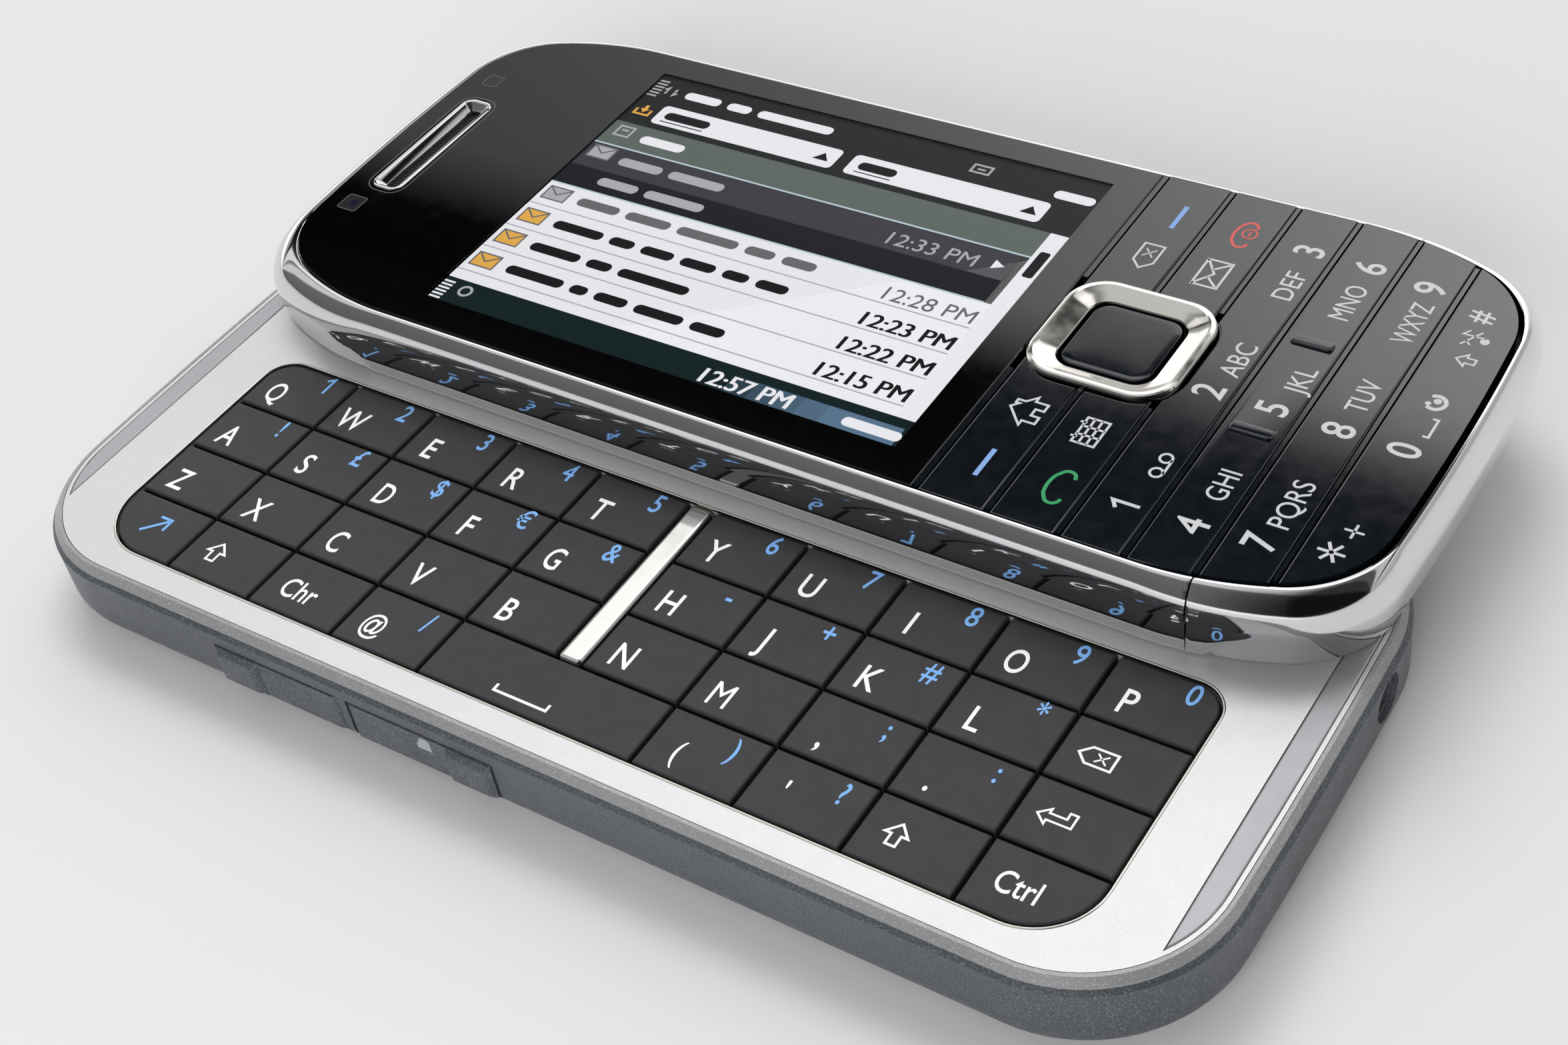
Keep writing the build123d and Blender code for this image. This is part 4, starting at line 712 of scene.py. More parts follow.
def round_edges():
    """Rounds the ridges of the middle number key and the raised lips of the two flaps."""
    rounded_copy("number_bar_4_5_6", "keypad", RIDGE_BEVEL, lambda point: point.z > FACE_TOP + RIDGE_LEAST)
    for flap in ("port_flap", "card_flap"):
        rounded_copy(flap, "housing", LIP_BEVEL, lambda point: point.y < FLAP_FACE - LIP_LEAST)


# ---------- earpiece

EAR_CORNER = 1.25 * MM
EAR_CORNER_LEAST = 0.25 * MM
EAR_STEPS = 8
# inset from the grille's box, height over the grille's top, mm
EAR_PROFILE = ((0.12, -1.2), (0.12, -0.12), (0.17, -0.05), (0.26, -0.02), (0.42, -0.02), (0.5, -0.06),
               (0.56, -0.15), (1.12, -0.62), (1.17, -0.75), (1.17, -1.2))
EAR_FLOOR_INSET = 1.1
EAR_GROOVE_INSET = -0.28
EAR_GROOVE_WIDTH = 0.1 * MM
EAR_GROOVE_LEVELS = (FACE_TOP - 0.2 * MM, FACE_TOP + 0.006 * MM)
EAR_BARS = 16  # fine bars on each side of the middle one
EAR_BAR_PITCH = 0.38 * MM
EAR_BAR_WIDTH = 0.14 * MM
EAR_BAR_INSET = 1.2 * MM
EAR_BAR_LEVELS = (0.09 * MM, 0.16 * MM)
EAR_FLOOR = 0.1 * MM


def add_edge(name, outline, width, z0, z1):
    """Fine line let into the window round an outline."""
    bm = bmesh.new()
    add_ribbon(bm, outline, width, z0, z1, closed=True)
    add_piece(name, bm, "window_black", finish=PANE_EDGE)


def ear_outline(inset):
    """Outline round the earpiece slot, set in from the grille's box."""
    low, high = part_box("earpiece_grille")
    step = inset * MM
    corner = max(EAR_CORNER_LEAST, EAR_CORNER - step)
    return rounded(low.x + step, high.x - step, low.y + step, high.y - step, corner, EAR_STEPS)


def build_earpiece():
    """Polished rim round a dark slot, with a sloped inner side and fine bars across its floor."""
    low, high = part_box("earpiece_grille")
    rings = [[(x, y, high.z + z * MM) for x, y in ear_outline(inset)] for inset, z in EAR_PROFILE]
    add_piece("earpiece_rim", loft(rings), "frame_chrome", "earpiece_grille", smooth=25)
    bm = bmesh.new()
    add_prism(bm, ear_outline(EAR_FLOOR_INSET), low.z, low.z + EAR_FLOOR)
    cx, cy = (low.x + high.x) / 2, (low.y + high.y) / 2
    half = (high.x - low.x) / 2 - EAR_BAR_INSET
    bottom, top = [low.z + level for level in EAR_BAR_LEVELS]
    for k in range(-EAR_BARS, EAR_BARS + 1):
        y = cy + k * EAR_BAR_PITCH
        add_ribbon(bm, [(cx - half, y), (cx + half, y)], EAR_BAR_WIDTH, bottom, top)
    add_piece("earpiece_mesh", bm, "inner_plastic", finish=DARK_MESH)
    add_edge("earpiece_groove", ear_outline(EAR_GROOVE_INSET), EAR_GROOVE_WIDTH, *EAR_GROOVE_LEVELS)


# ---------- display

GLASS_THICKNESS = 0.35 * MM
PANEL_DEPTH = 0.42 * MM  # window face to the dark panel's face
COVER_CORNER = 0.6 * MM
COVER_STEPS = 6
BEZEL_LAP = 0.04 * MM
BEZEL_LEVELS = (FACE_TOP - 0.02 * MM, FACE_TOP + 0.006 * MM)
SCREEN_Z = FACE_TOP - PANEL_DEPTH + 0.03 * MM
SCREEN_LEVEL = 0.02 * MM
LAYER_SHARE = 0.6  # thickness of a layer as a share of the step between two
HEAVY_SHIFT = 0.06 * MM
AREA_STEPS = 3  # on each corner of a lit area
# Places on the lit area are in mm from its lower left corner; a level is the number of a layer.
SCREEN_OFFSET = (2.4, 0.0)  # lens corner to the lit area's corner
SCREEN_WIDTH = 47.9
SCREEN_HEIGHT = 36.85
FOOT_TOP = 3.35
LIST_TOP = 18.55
LIST_RIGHT = 45.9
BAND_LOW, BAND_TOP = 25.35, 28.95
BAND_EDGE = BAND_LOW - 0.12  # lower side of the bright edge under the band
BAND_RIGHT = 46.0
PICK_RIGHT = 45.3
ROW_LINES = (15.13, 11.58, 8.2, 4.61)
RULE_HALF = 0.07
THIN_ROUND = 0.02  # corner radius of rules and bright edges
ROW_LEFT = 4.3
TIME_MIDDLE = 41.2
# middle of the row, lengths of the words, time, ink of the words
LIST_ROWS = ((16.9, (4.6, 4.8, 6.4, 3.0, 3.4), "12:28 PM", "grey"),
             (13.3, (5.4, 2.6, 3.4, 3.6, 2.6, 3.2), "12:23 PM", "ink"),
             (9.85, (5.4, 2.6, 7.4), "12:22 PM", "ink"),
             (6.3, (6.2, 1.8, 3.4, 5.0, 3.4), "12:15 PM", "ink"))
# left and right of each white field, left and length of its word, length of the rule, middle of the arrow
FIELDS = ((3.1, 23.1, 4.0, 5.0, 4.8, 21.6), (24.4, 44.2, 25.4, 3.9, 3.8, 42.8))
WORD_GAP = 0.85
WORD_BELOW, WORD_ABOVE, WORD_ROUND = 0.4, 0.36, 0.34  # of a bar, as shares of the height of its text
LADDER_STROKES = 6
LADDER_STROKE = 0.22
LADDER_LEFT = 0.1
TIME_LENGTH = 8.6
GLOW_AREAS = 8  # those past the brightest step repeat it
GLOW_LEFT = 29.0
GLOW_STEP = 2.3
GLOW_TOP = 2.3
GLOW_LAP = 0.01


def screen_place(x, y, level):
    corner = lowest("display_lens")
    x, y = corner.x + (SCREEN_OFFSET[0] + x) * MM, corner.y + (SCREEN_OFFSET[1] + y) * MM
    return x, y, SCREEN_Z + level * SCREEN_LEVEL


def screen_area(ink, x0, x1, y0, y1, level, radius=0.15):
    left, low, z = screen_place(x0, y0, level)
    right, high, z = screen_place(x1, y1, level)
    outline = rounded(left, right, low, high, radius * MM, AREA_STEPS)
    add_prism(Print.sheet("slider", f"screen_{ink}"), outline, z, z + SCREEN_LEVEL * LAYER_SHARE)


def screen_words(ink, x, y, lengths, height=1.5, level=2):
    """Stand-in for a line of words: one plain round-ended bar a word."""
    for length in lengths:
        low, high = y - height * WORD_BELOW, y + height * WORD_ABOVE
        screen_area(ink, x, x + length, low, high, level, height * WORD_ROUND)
        x += length + WORD_GAP


def screen_time(ink, text, x, y, height, level, heavy):
    """A time on the display; a heavy one is struck twice, side by side."""
    x, y, z = screen_place(x, y, level)
    for shift in (-HEAVY_SHIFT, HEAVY_SHIFT) if heavy else (0.0,):
        write("slider", f"screen_{ink}", text, (x + shift, y, z), height * MM, length=TIME_LENGTH * MM)


def screen_mark(ink, x, y, size, level=2, line=0.22):
    return Mark("slider", f"screen_{ink}", screen_place(x, y, level), size * MM, 0.0, line * MM)


def draw_ladder(ink, right, low, step, level):
    """Short strokes one above another, as for signal or charge."""
    for k in range(LADDER_STROKES):
        screen_area(ink, LADDER_LEFT, right, low + k * step, low + LADDER_STROKE + k * step, level, 0.05)


def draw_status():
    """Dark top: ladder of signal bars, a title, a soft key word, and two white fields with arrows."""
    screen_area("bar", 0.0, SCREEN_WIDTH, BAND_TOP, SCREEN_HEIGHT, 1)
    draw_ladder("soft", 1.2, 33.5, 0.48, 2)
    arrows = screen_mark("soft", 2.3, 34.7, 0.55)
    arrows.line((-1, -0.8), (-1, 1), (-1.6, 0.3))
    arrows.line((0.6, 1), (0.6, -0.8), (1.2, -0.1))
    screen_words("white", 3.9, 34.8, (4.0, 2.6, 8.2))
    sign = screen_mark("soft", 36.0, 34.75, 1.0)
    sign.line(*rectangle(-0.9, 0.9, -0.5, 0.55), closed=True)
    sign.line((-0.4, 0), (0.4, 0))
    screen_words("white", 43.6, 34.1, (3.9,))
    for left, right, start, word, rule, arrow in FIELDS:
        screen_area("white", left, right, 29.75, 32.65, 2, 0.5)
        screen_words("ink", start, 31.25, (word,), level=4)
        screen_area("ink", start, start + rule, 30.2, 30.33, 4, 0.03)
        screen_mark("ink", arrow, 31.1, 0.8, 4).fill((-1, -0.6), (1, -0.6), (0, 0.75))
    inbox = screen_mark("orange", 1.5, 31.2, 0.8, line=0.25)
    inbox.line((-1.0, 0.2), (-1.0, -0.8), (1.0, -0.8), (1.0, 0.2))
    inbox.fill((-0.6, 0.3), (0, -0.4), (0.6, 0.3))
    inbox.line((0, 0.3), (0, 1.0), width=0.35 * MM)


def draw_band():
    """Group line and the chosen message, both dark."""
    screen_area("band", 0.0, BAND_RIGHT, BAND_LOW, BAND_TOP, 1)
    screen_area("edge", 0.0, BAND_RIGHT, BAND_EDGE, BAND_LOW + 0.08, 2, THIN_ROUND)
    screen_words("white", 4.0, 27.2, (4.9,), 1.55)
    box = screen_mark("soft", 1.8, 27.6, 0.8)
    box.line(*rectangle(-1, 1, -0.9, 0.9), closed=True)
    box.line((-0.5, 0.2), (0.5, 0.2))
    screen_area("pick", 0.0, PICK_RIGHT, LIST_TOP, BAND_EDGE, 1)
    screen_area("pick_low", 0.0, PICK_RIGHT, LIST_TOP, 21.6, 2)
    screen_area("edge", 0.0, PICK_RIGHT, LIST_TOP - 0.1, LIST_TOP + 0.08, 3, THIN_ROUND)
    screen_words("soft", 4.2, 23.5, (4.8, 6.0), level=4)
    screen_words("soft", 4.2, 20.2, (4.4, 6.4), level=4)
    screen_time("soft", "12:33 PM", 37.6, 23.1, 1.6, 4, False)
    screen_mark("white", 44.0, 23.3, 0.75, 4).fill((-0.6, -0.8), (0.8, 0), (-0.6, 0.8))


def draw_envelope(y, fill):
    screen_area(fill, 0.6, 3.1, y - 0.95, y + 0.85, 3)
    icon = screen_mark("grey", 1.85, y - 0.05, 1.0, 5, line=0.16)
    icon.line(*rectangle(-1.25, 1.25, -0.9, 0.9), closed=True)
    icon.line((-1.2, 0.85), (0, -0.15), (1.2, 0.85))


def draw_list():
    """White list with a rule under each row, and a scroll bar at its right."""
    screen_area("white", 0.0, SCREEN_WIDTH, FOOT_TOP, LIST_TOP, 1)
    screen_area("white", LIST_RIGHT + 0.1, SCREEN_WIDTH, FOOT_TOP, BAND_TOP, 2, THIN_ROUND)
    screen_area("ink", 46.45, 47.45, 22.75, 26.35, 4, 0.25)
    for y in ROW_LINES:
        screen_area("rule", 0.0, LIST_RIGHT, y - RULE_HALF, y + RULE_HALF, 2, THIN_ROUND)
    for y, words, time, ink in LIST_ROWS:
        read = ink == "grey"
        screen_words(ink, ROW_LEFT, y, words)
        screen_time(ink, time, TIME_MIDDLE, y - 0.45, 1.65, 2, not read)
        draw_envelope(y + 0.1, "soft" if read else "orange")
    draw_envelope(24.0, "soft")


def draw_foot():
    """Dark bottom line with the clock, a soft key word and a cool glow at its right."""
    screen_area("foot", 0.0, SCREEN_WIDTH, 0.0, FOOT_TOP, 2)
    for k in range(GLOW_AREAS):
        left = GLOW_LEFT + k * GLOW_STEP
        right = min(left + GLOW_STEP + GLOW_LAP, SCREEN_WIDTH)
        screen_area(f"glow_{min(k, GLOW_LAST)}", left, right, 0.0, GLOW_TOP, 3, 0.01)
    draw_ladder("white", 1.3, 0.35, 0.45, 4)
    screen_mark("soft", 2.9, 2.1, 0.6, 4, 0.25).line(*ring(0, 0, 1.0, 14), closed=True)
    screen_time("white", "12:57 PM", 32.9, 1.3, 1.7, 5, True)
    screen_words("white", 42.3, 1.25, (5.4,), 1.4, 5)


def build_bezel(low, high):
    """Gloss black mask on the glass, from the window to the lit area."""
    x0, y0, _ = screen_place(0, 0, 0)
    x1, y1, _ = screen_place(SCREEN_WIDTH, SCREEN_HEIGHT, 0)
    near, far = low.y - BEZEL_LAP, high.y + BEZEL_LAP
    bm = bmesh.new()
    for sides in ((low.x - BEZEL_LAP, x0, near, far), (x1, high.x + BEZEL_LAP, near, far),
                  (x0, x1, near, y0), (x0, x1, y1, far)):
        add_prism(bm, rectangle(*sides), *BEZEL_LEVELS)
    add_piece("display_mask", bm, "window_black")


def build_display():
    """Cover glass over a dark panel with a lit list of messages."""
    low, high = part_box("display_lens")
    outline = rounded(low.x, high.x, low.y, high.y, COVER_CORNER, COVER_STEPS)
    add_plate("display_cover", outline, FACE_TOP - GLASS_THICKNESS, FACE_TOP, "lens", "display_lens")
    add_plate("display_panel", outline, low.z, FACE_TOP - PANEL_DEPTH, "display")
    build_bezel(low, high)
    draw_status()
    draw_band()
    draw_list()
    draw_foot()


# ---------- window details

# name, y of the middle from the slider's middle line, half of the side, mm
PANES = (("camera", -10.05, 1.05), ("sensor", 11.25, 0.85))
PANE_X = lowest("earpiece_grille").x + 0.6 * MM
PANE_CORNER = 0.25 * MM
PANE_STEPS = 4
PANE_LEVELS = (FACE_TOP - 0.3 * MM, FACE_TOP + 0.01 * MM)
PANE_EDGE_WIDTH = 0.09 * MM
PANE_EDGE_LEVELS = (FACE_TOP - 0.2 * MM, FACE_TOP + 0.018 * MM)
PUPIL_SHIFT = 0.15 * MM  # the pupil's middle lies a little past the pane's
PUPIL_RADIUS = 0.42 * MM
PUPIL_STEPS = 23
PUPIL_LEVELS = (FACE_TOP - 0.1 * MM, FACE_TOP + 0.016 * MM)


def build_window_details():
    """Front camera and light sensor places, each a small pane flush with the window."""
    for name, y, half in PANES:
        y, half = SLIDER_Y + y * MM, half * MM
        outline = rounded(PANE_X - half, PANE_X + half, y - half, y + half, PANE_CORNER, PANE_STEPS)
        add_plate(f"front_{name}_pane", outline, *PANE_LEVELS, "window_black", finish=PANE_DARK)
        add_edge(f"front_{name}_edge", outline, PANE_EDGE_WIDTH, *PANE_EDGE_LEVELS)
    pupil = ring(PANE_X + PUPIL_SHIFT, SLIDER_Y + PANES[0][1] * MM, PUPIL_RADIUS, PUPIL_STEPS)
    add_plate("front_camera_pupil", pupil, *PUPIL_LEVELS, "camera_glass", finish=PUPIL)


# ---------- legends of the number keypad

PAD_TURN = 90.0
PAD_SQUEEZE = 0.88
DIGIT_HEIGHT = 2.5
DIGIT_BOLD = 0.016
HASH_HEIGHT = 1.9
LETTER_HEIGHT = 1.7
# For each bar, its texts with x and y of their middle, and the length of a group of letters, mm.
PAD_TEXT = (
    (("2", 33.97, 25.52), ("3", 33.93, 44.5), ("ABC", 34.49, 29.78, 4.1), ("DEF", 34.28, 39.7, 3.6)),
    (("4", 39.26, 11.59), ("5", 39.2, 25.6), ("6", 39.21, 44.3), ("GHI", 39.47, 16.36, 3.3),
     ("JKL", 39.83, 29.45, 3.1), ("MNO", 39.37, 39.53, 4.4)),
    (("7", 44.34, 11.99), ("8", 44.64, 25.32), ("9", 44.5, 43.66), ("PQRS", 44.83, 16.49, 5.2),
     ("TUV", 44.84, 29.6, 3.8), ("WXYZ", 44.84, 39.13, 5.1)),
    (("0", 49.81, 25.19), ("#", 49.21, 41.85)),
)
ONE = ((-0.26, 0.26), (0.06, 0.5), (0.06, -0.5))
HANDSET = [(-1.2, -0.9), *arc(-1.2, -0.2, 0.7, 235, 115, 8), *arc(0, -2.6, 3.48, 108, 72, 14),
           *arc(1.2, -0.2, 0.7, 65, -55, 8), (1.2, -0.9)]
HOUSE = ((0, 1.5), (0.55, 0.97), (0.55, 1.3), (0.95, 1.3), (0.95, 0.6), (1.75, -0.15), (1.2, -0.15),
         (1.2, -1.3), (0.4, -1.3), (0.4, -0.55), (-0.4, -0.55), (-0.4, -1.3), (-1.2, -1.3), (-1.2, -0.15),
         (-1.75, -0.15))
ERASE = ((-1.7, 0), (-0.75, 0.95), (1.7, 0.95), (1.7, -0.95), (-0.75, -0.95))
SHIFT = ((-1.15, 0.1), (0, 1.35), (1.15, 0.1), (0.5, 0.1), (0.5, -1.1), (-0.5, -1.1), (-0.5, 0.1))
RETURN = ((-1.9, -0.2), (-0.8, 0.75), (-0.8, 0.22), (1.0, 0.22), (1.0, 1.0), (1.8, 1.0), (1.8, -0.62),
          (-0.8, -0.62), (-0.8, -1.15))


def pad_mark(body, x, y, size, line=0.21, ink="pad_white"):
    return Mark(body, ink, (x * MM, y * MM, FACE_TOP), size * MM, PAD_TURN, line * MM)


def draw_erase(outline, cross):
    """Pointed box with a finer cross in it; the two marks share a middle."""
    outline.line(*ERASE, closed=True)
    cross.line((-0.05, 0.5), (1.05, -0.5))
    cross.line((-0.05, -0.5), (1.05, 0.5))


def print_pad_text():
    for body, texts in zip(BARS, PAD_TEXT):
        for text, x, y, *length in texts:
            height = LETTER_HEIGHT if length else HASH_HEIGHT if text == "#" else DIGIT_HEIGHT
            look = {"length": length[0] * MM} if length else {"squeeze": PAD_SQUEEZE, "bold": DIGIT_BOLD}
            write(body, "pad_white", text, (x * MM, y * MM, FACE_TOP), height * MM, PAD_TURN, **look)


def print_soft_keys():
    """Short strokes on both soft keys, an eraser sign and a house."""
    for body, y in (("soft_key_left", 11.31), ("soft_key_right", 44.63)):
        pad_mark(body, 22.2, y, 1.0, 0.42, "pad_blue").line((-1.6, 0), (1.6, 0))
    draw_erase(*[pad_mark("soft_key_right", 22.08, 38.85, 0.95, line) for line in (0.19, 0.13)])
    pad_mark("soft_key_left", 22.3, 17.82, 0.98).line(*HOUSE, closed=True)


def print_call_keys():
    """Handsets in green and red, an envelope and a calendar."""
    pad_mark("call_key", 28.5, 11.2, 0.96, 0.3, "pad_green").line(*HANDSET)
    pad_mark("end_key", 28.1, 44.5, 0.9, 0.26, "pad_red").line(*HANDSET)
    stop = pad_mark("end_key", 28.55, 44.75, 0.62, 0.16, "pad_red")
    stop.line(*ring(0, 0, 1.0, 20), closed=True)
    stop.line((-0.5, 0), (0.5, 0))
    letter = pad_mark("end_key", 28.0, 38.79, 1.0)
    letter.line(*rectangle(-1.7, 1.7, -1.1, 1.1), closed=True)
    letter.line((-1.7, 1.1), (0, -0.15), (1.7, 1.1))
    for side in (-1, 1):
        letter.line((1.6 * side, -1.0), (0.5 * side, 0.2))
    days = pad_mark("call_key", 27.95, 17.59, 1.0)
    days.line(*rectangle(-1.45, 1.45, -0.95, 0.95), closed=True)
    for y in (-0.3, 0.35):
        days.line((-1.45, y), (1.45, y))
    for x in (-0.5, 0.45):
        days.line((x, -0.95), (x, 0.95))
    for x in (-0.85, 0.85):
        days.line((x, 0.75), (x, 1.3))


def print_bar_signs():
    """The figure one, and small signs on the first and last number bars."""
    pad_mark(BARS[0], 33.95, 11.54, 2.2, 0.3).line(*ONE)
    tape = pad_mark(BARS[0], 34.49, 16.42, 1.0)
    for x in (-0.85, 0.85):
        tape.line(*ring(x, 0.05, 0.5, 14), closed=True)
    tape.line((-0.85, -0.48), (0.85, -0.48))
    last = BARS[-1]
    star = pad_mark(last, 49.3, 13.18, 1.05, 0.26)
    for angle in (90, 30, 150):
        x, y = cos(radians(angle)), sin(radians(angle))
        star.line((-x, -y), (x, y))
    plus = pad_mark(last, 49.95, 15.77, 0.75)
    plus.line((-1, 0), (1, 0))
    plus.line((0, -1), (0, 1))
    note = pad_mark(last, 49.8, 39.13, 1.05, 0.15)
    note.line((0.3, -0.8), (0.3, 0.95), (0.85, 0.55))
    note.fill(*dot(-0.02, -0.8, 0.36))
    note.line((-0.9, 0.75), (0.95, -0.35))
    note.line((-0.75, 0.05), (-0.35, 0.5))
    pad_mark(last, 50.2, 36.5, 0.62, 0.16).line(*SHIFT, closed=True)
    pad_mark(last, 50.78, 28.21, 0.9).line((-1.15, 0.4), (-1.15, -0.1), (1.15, -0.1), (1.15, 0.4))
    ball = pad_mark(last, 49.92, 31.05, 0.9, 0.34)
    ball.line(*arc(0, 0, 0.85, 140, 400, 18))
    ball.fill(*dot(-0.3, 0.55, 0.26))
    ball.fill(*dot(0.2, -0.1, 0.36))


# ---------- legends of the letter keyboard

KEY_GROOVE = 0.34 * MM
KEYS_LEFT = (lowest("letters_q_to_t").x, lowest("letters_y_to_p").x)
KEY_PITCH = (highest("letters_q_to_t").x - KEYS_LEFT[0] + KEY_GROOVE) / 5
ROW_PITCH = highest("letters_q_to_t").y - highest("letters_a_to_g").y
KEYS_FAR = highest("letters_q_to_t").y
KEY_LENGTH = KEY_PITCH - KEY_GROOVE
KEY_WIDTH = ROW_PITCH - KEY_GROOVE
KEY_BOLD = 0.012
KEY_SQUEEZE = 0.78
ROUND_SQUEEZE = 0.68  # for the wide round letters
ROUND_LETTERS = "OQCGD"
# middle as shares of the key, capital height in mm
LETTER_SPOT = (0.28, 0.36, 2.3)
SIGN_SPOT = (0.74, 0.8, 1.95)

ROW_BODIES = (("letters_q_to_t",) * 5 + ("letters_y_to_p",) * 5,
              ("letters_a_to_g",) * 5 + ("letters_h_to_l",) * 4 + ("backspace_key",),
              ("letters_z_to_b",) * 5 + ("letters_n_to_stop",) * 4 + ("enter_key",),
              ("modifier_keys", "shift_keys", "modifier_keys", "punctuation_keys", "space_key", "space_key",
               "punctuation_keys", "punctuation_keys", "shift_keys", "modifier_keys"))
ROW_LETTERS = ("QWERTYUIOP", "ASDFGHJKL ", "ZXCVBNM,. ")
ROW_SIGNS = (" 234567890", "!£$€&-+#* ", "       ;: ")
# column in the last row, ink, text, its middle as shares of the key, capital height in mm
LAST_ROW = ((2, "key_white", "Chr", 0.4, 0.43, 1.95), (9, "key_white", "Ctrl", 0.39, 0.48, 1.85),
            (3, "key_white", "@", 0.3, 0.4, 1.9), (3, "key_blue", "/", 0.76, 0.74, 1.95),
            (6, "key_white", "(", 0.3, 0.4, 1.9), (6, "key_blue", ")", 0.74, 0.74, 1.9),
            (7, "key_white", "'", 0.3, 0.45, 1.95), (7, "key_blue", "?", 0.76, 0.74, 1.95))


def key_place(row, column, across, up):
    """Point on a keycap's face, as shares of its length and width from the lower left corner."""
    left = KEYS_LEFT[column // 5] + (column % 5) * KEY_PITCH
    low = KEYS_FAR - row * ROW_PITCH - KEY_WIDTH
    return left + KEY_LENGTH * across, low + KEY_WIDTH * up, DECK_TOP


def key_text(row, column, ink, text, across, up, height, squeeze=KEY_SQUEEZE):
    place = key_place(row, column, across, up)
    write(ROW_BODIES[row][column], ink, text, place, height * MM, squeeze=squeeze, bold=KEY_BOLD)


def key_mark(row, column, across, up, size, line=0.2, ink="key_white"):
    place = key_place(row, column, across, up)
    return Mark(ROW_BODIES[row][column], ink, place, size * MM, 0.0, line * MM)


def print_keys():
    for ink, rows, spot in (("key_white", ROW_LETTERS, LETTER_SPOT), ("key_blue", ROW_SIGNS, SIGN_SPOT)):
        for row, texts in enumerate(rows):
            for column, text in enumerate(texts):
                if text != " ":
                    squeeze = ROUND_SQUEEZE if text in ROUND_LETTERS else KEY_SQUEEZE
                    key_text(row, column, ink, text, *spot, squeeze)
    key_mark(0, 0, 0.73, 0.8, 1.95, 0.24, "key_blue").line(*ONE)
    draw_erase(*[key_mark(1, 9, 0.33, 0.46, 0.82, line) for line in (0.2, 0.14)])
    key_mark(2, 9, 0.33, 0.5, 0.74, 0.17).line(*RETURN, closed=True)
    for column in (1, 8):
        key_mark(3, column, 0.32, 0.48, 0.8).line(*SHIFT, closed=True)
    slant = key_mark(3, 0, 0.52, 0.52, 0.82, 0.26, "key_blue")
    slant.line((-1.2, -1.2), (1.1, 1.1))
    slant.line((-0.3, 1.25), (1.25, 1.25), (1.25, -0.3))
    for column, *legend in LAST_ROW:
        key_text(3, column, *legend)
    space = key_mark(3, 4, 1.14, 0.22, 1.0, 0.24)
    space.line((-3.2, 0.45), (-3.2, -0.2), (1.8, -0.2), (1.8, 0.45))


CARD_MIDDLE = (-7.28 * MM, 4.52 * MM)
CARD_DEPTH = 0.02 * MM  # how far the print reaches into the flap
CARD = ((-0.62, -0.65), (0.78, -0.65), (0.78, 0.4), (0.52, 0.65), (-0.2, 0.65), (-0.2, 0.4), (-0.38, 0.25),
        (-0.38, 0.0), (-0.62, -0.1))


def print_flap():
    """Small filled memory card with a cut corner and a notch, on the card flap."""
    bm = Print.sheet("card_flap", "flap_ink")
    outline = [(CARD_MIDDLE[0] + x * MM, CARD_MIDDLE[1] + z * MM) for x, z in CARD]
    add_prism(bm, outline, -FLAP_FACE - CARD_DEPTH, -FLAP_FACE + Print.THICK)
    for vert in bm.verts:
        vert.co = Vector((vert.co.x, -vert.co.z, vert.co.y))


# Slots of the bodies that carry print; every other one is a keycap.
INK_SLOTS = {"slider": "display", "card_flap": "housing", "soft_key_left": "keypad",
             "soft_key_right": "keypad", "call_key": "keypad", "end_key": "keypad"}
INK_SLOTS.update({bar: "keypad" for bar in BARS})


# ---------- bead round the keyboard opening

OPENING_CORNERS = (5.5 * MM, 2.6 * MM)  # radii of the near and far corners
OPENING_STEPS = (14, 10)
BEAD_INSIDE = 0.06 * MM  # the bead's inner side over the opening's edge
# out from the bead's inner side and up from the deck, mm
BEAD_PROFILE = ((0.0, -0.25), (0.0, 0.0), (0.03, 0.035), (0.1, 0.05), (0.17, 0.035), (0.22, 0.0),
                (0.22, -0.05))


def opening_outline(offset):
    """The keyboard opening's outline, set out by an offset."""
    x = -KEYS_LEFT[0] + KEY_GROOVE / 2 + offset
    far = KEYS_FAR + KEY_GROOVE / 2
    near = far - 4 * ROW_PITCH - offset
    far += offset
    near_round, far_round = [radius + offset for radius in OPENING_CORNERS]
    near_steps, far_steps = OPENING_STEPS
    points = arc(x - far_round, far - far_round, far_round, 0, 90, far_steps)
    points += arc(-x + far_round, far - far_round, far_round, 90, 180, far_steps)
    points += arc(-x + near_round, near + near_round, near_round, 180, 270, near_steps)
    points += arc(x - near_round, near + near_round, near_round, 270, 360, near_steps)
    return points


def build_opening_bead():
    """Thin bright bead round the keyboard opening, where the deck's cut edge is turned up."""
    rings = [[(x, y, DECK_TOP + up * MM) for x, y in opening_outline(BEAD_INSIDE + out * MM)]
             for out, up in BEAD_PROFILE]
    add_piece("keyboard_bead", loft(rings), "deck", body="base", finish=BEAD_METAL, smooth=50)


# ---------- room, lights and camera

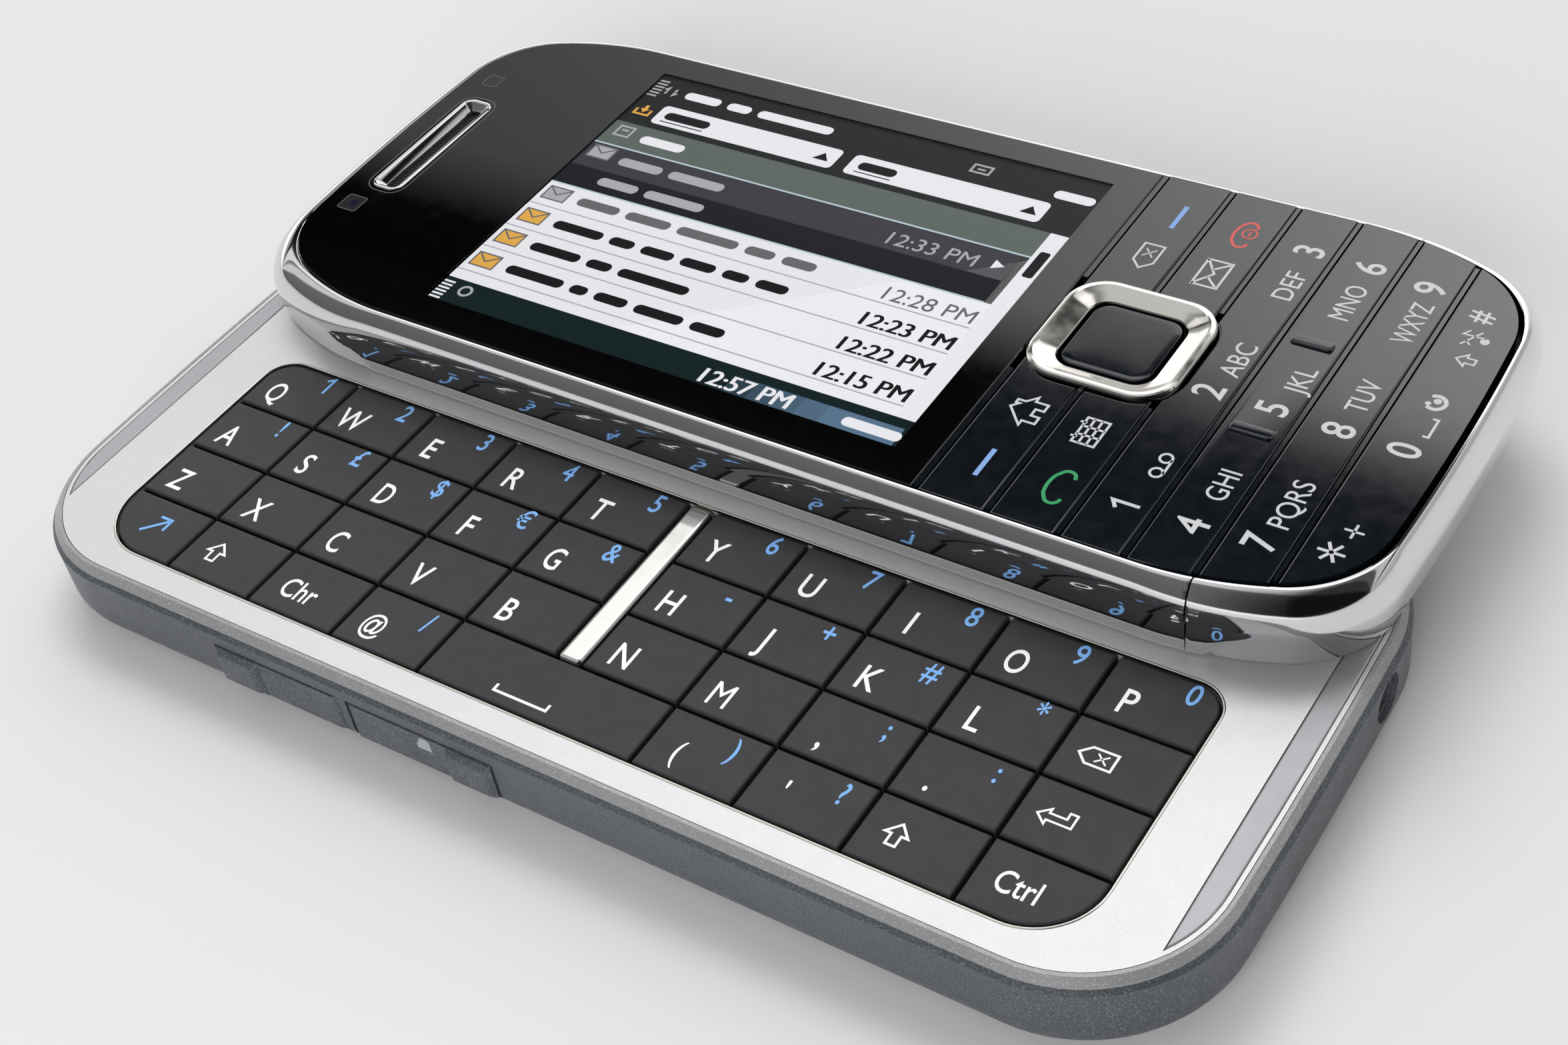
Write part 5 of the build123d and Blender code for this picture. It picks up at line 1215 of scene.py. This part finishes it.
# Brightness of the room against the angle over the phone's long axis: 0 is the far horizon, 90 the
# ceiling, 180 the near horizon.
ROOM_STEPS = ((0, 0.9), (43.0, 0.9), (45.0, 0.01), (50.3, 0.01), (51.5, 1.0), (67, 1.0), (70, 0.18),
              (75, 0.18), (84, 0.42), (114, 0.42), (124, 0.1), (180, 0.08))
ROOM_PEAK = 1.7
WALL_SHARES = (0.27, 1.35)  # share of the far wall's upper part, at its left and at its right
WALL_EDGES = ((26, 34), (47, 49))  # angles over which that part begins and ends
WALL_RUN = (-1.1, -0.25)  # x over y where it has its left and its right share
LEAST_REACH = 0.05  # keeps x over y finite
BOX_SHARES = (0.5, 1.1)  # share of the softbox, at its left and at its right
BOX_EDGES = ((48, 50), (70, 76))
BOX_RUN = (-0.75, -0.45)
NEAR_DARK = 0.15  # what is left of the light behind the camera
NEAR_EDGES = ((72, 90),)
NEAR_RUN = (-0.1, 0.45)
END_DIM = 0.32  # what is left of all light at the keypad's end
END_RUN = (0.0, 0.4)


def level_between(graph, angle, share, start, end=None):
    """A share that counts only between two edges, each a range in degrees, and is 1 outside them."""
    inside = graph.spread(angle, 0, 1, start[0] / 180, start[1] / 180)
    if end:
        inside = graph.math("MULTIPLY", inside, graph.spread(angle, 1, 0, end[0] / 180, end[1] / 180))
    return graph.mix("FLOAT", inside, 1.0, share)


def build_world():
    """Studio room: a lit far wall, a dark gap, a softbox, a grey ceiling and a dim near side."""
    world = bpy.data.worlds.new("room")
    bpy.context.scene.world = world
    graph = Graph(world)
    split = graph.nodes.new("ShaderNodeSeparateXYZ")
    graph.feed(split, {"Vector": graph.add("TexCoord", "Generated", {})})
    x, y, z = split.outputs
    angle = graph.spread(graph.math("ARCTAN2", z, y), 0, 1, 0, pi)
    ramp = graph.nodes.new("ShaderNodeValToRGB")
    graph.feed(ramp, {"Fac": angle})
    steps = ramp.color_ramp.elements
    for position, level in ROOM_STEPS[1:-1]:
        steps.new(position / 180)
    for step, (position, level) in zip(steps, ROOM_STEPS):
        step.position = position / 180
        step.color = (level, level, level, 1)
    run = graph.spread(graph.math("DIVIDE", x, graph.math("MAXIMUM", y, LEAST_REACH)), 0, 1, *WALL_RUN)
    wall = graph.spread(graph.math("MULTIPLY", run, run), *WALL_SHARES, 0, 1)
    box = graph.spread(x, *BOX_SHARES, *BOX_RUN)
    near = graph.spread(x, 1, NEAR_DARK, *NEAR_RUN)
    level = ramp.outputs["Color"]
    for share, edges in ((wall, WALL_EDGES), (box, BOX_EDGES), (near, NEAR_EDGES)):
        level = graph.math("MULTIPLY", level, level_between(graph, angle, share, *edges))
    level = graph.math("MULTIPLY", level, graph.spread(x, 1, END_DIM, *END_RUN))
    strength = graph.math("MULTIPLY", level, ROOM_PEAK)
    graph.feed(graph.nodes["Background"], {"Color": (1, 1, 1, 1), "Strength": strength})


# name, place, size, power; both lamps face the part
LAMPS = (("overhead", (-0.35, 0.45, 0.8), (0.6, 0.6), 5.5),
         ("near_fill", (0.15, -0.6, 0.3), (0.5, 0.3), 4.5))


def add_lamp(name, place, size, power):
    lamp = bpy.data.lights.new(name, "AREA")
    lamp.shape = "RECTANGLE"
    lamp.size, lamp.size_y = size
    lamp.energy = power
    holder = bpy.data.objects.new(name, lamp)
    holder.location = place
    holder.rotation_euler = (-Vector(place)).to_track_quat("-Z", "Y").to_euler()
    holder.visible_glossy = False
    bpy.context.scene.collection.objects.link(holder)


FLOOR_HALF = 1.5
FLOOR_GAP = 0.02 * MM  # keeps the phone's flat back off the floor's plane
PALE_TABLE = surface("pale_table", (0.62, 0.62, 0.63), 0.7, grain=900, spread=0.01, bump=0.05, cloud=6)


def build_floor():
    """Plain pale table under the phone, with an even finish that still shows the soft shadow."""
    bm = bmesh.new()
    corners = rectangle(-FLOOR_HALF, FLOOR_HALF, -FLOOR_HALF, FLOOR_HALF)
    bm.faces.new([bm.verts.new((x, y, -FLOOR_GAP)) for x, y in corners])
    mesh = to_mesh(bm, "floor")
    mesh.materials.append(PALE_TABLE)
    floor = bpy.data.objects.new("floor", mesh)
    bpy.context.scene.collection.objects.link(floor)


# Place, axes and lens of the camera that fits the photo's key grid and outlines.
CAMERA_PLACE = (0.09407, -0.09791, 0.13301)
CAMERA_RIGHT = (0.83137, 0.53874, -0.13632)
CAMERA_UP = (-0.29125, 0.63133, 0.71875)
CAMERA_BACK = (0.47328, -0.55784, 0.68177)
CAMERA_LENS = 53.12
CAMERA_SENSOR = 36
CAMERA_CLIP = (0.005, 20)


def build_camera():
    camera = bpy.data.cameras.new("camera")
    camera.lens = CAMERA_LENS
    camera.sensor_width = CAMERA_SENSOR
    camera.clip_start, camera.clip_end = CAMERA_CLIP
    holder = bpy.data.objects.new("camera", camera)
    columns = Matrix((CAMERA_RIGHT, CAMERA_UP, CAMERA_BACK)).transposed()
    holder.matrix_world = Matrix.Translation(CAMERA_PLACE) @ columns.to_4x4()
    bpy.context.scene.collection.objects.link(holder)
    bpy.context.scene.camera = holder


# ---------- assembly

finish_nodes()
build_frame()
build_nav()
build_pad_ribs()
round_edges()
build_earpiece()
build_display()
build_window_details()
print_pad_text()
print_soft_keys()
print_call_keys()
print_bar_signs()
print_keys()
print_flap()
build_opening_bead()
Print.finish()
build_world()
build_floor()
for lamp in LAMPS:
    add_lamp(*lamp)
build_camera()
bpy.context.scene.view_settings.view_transform = "Standard"
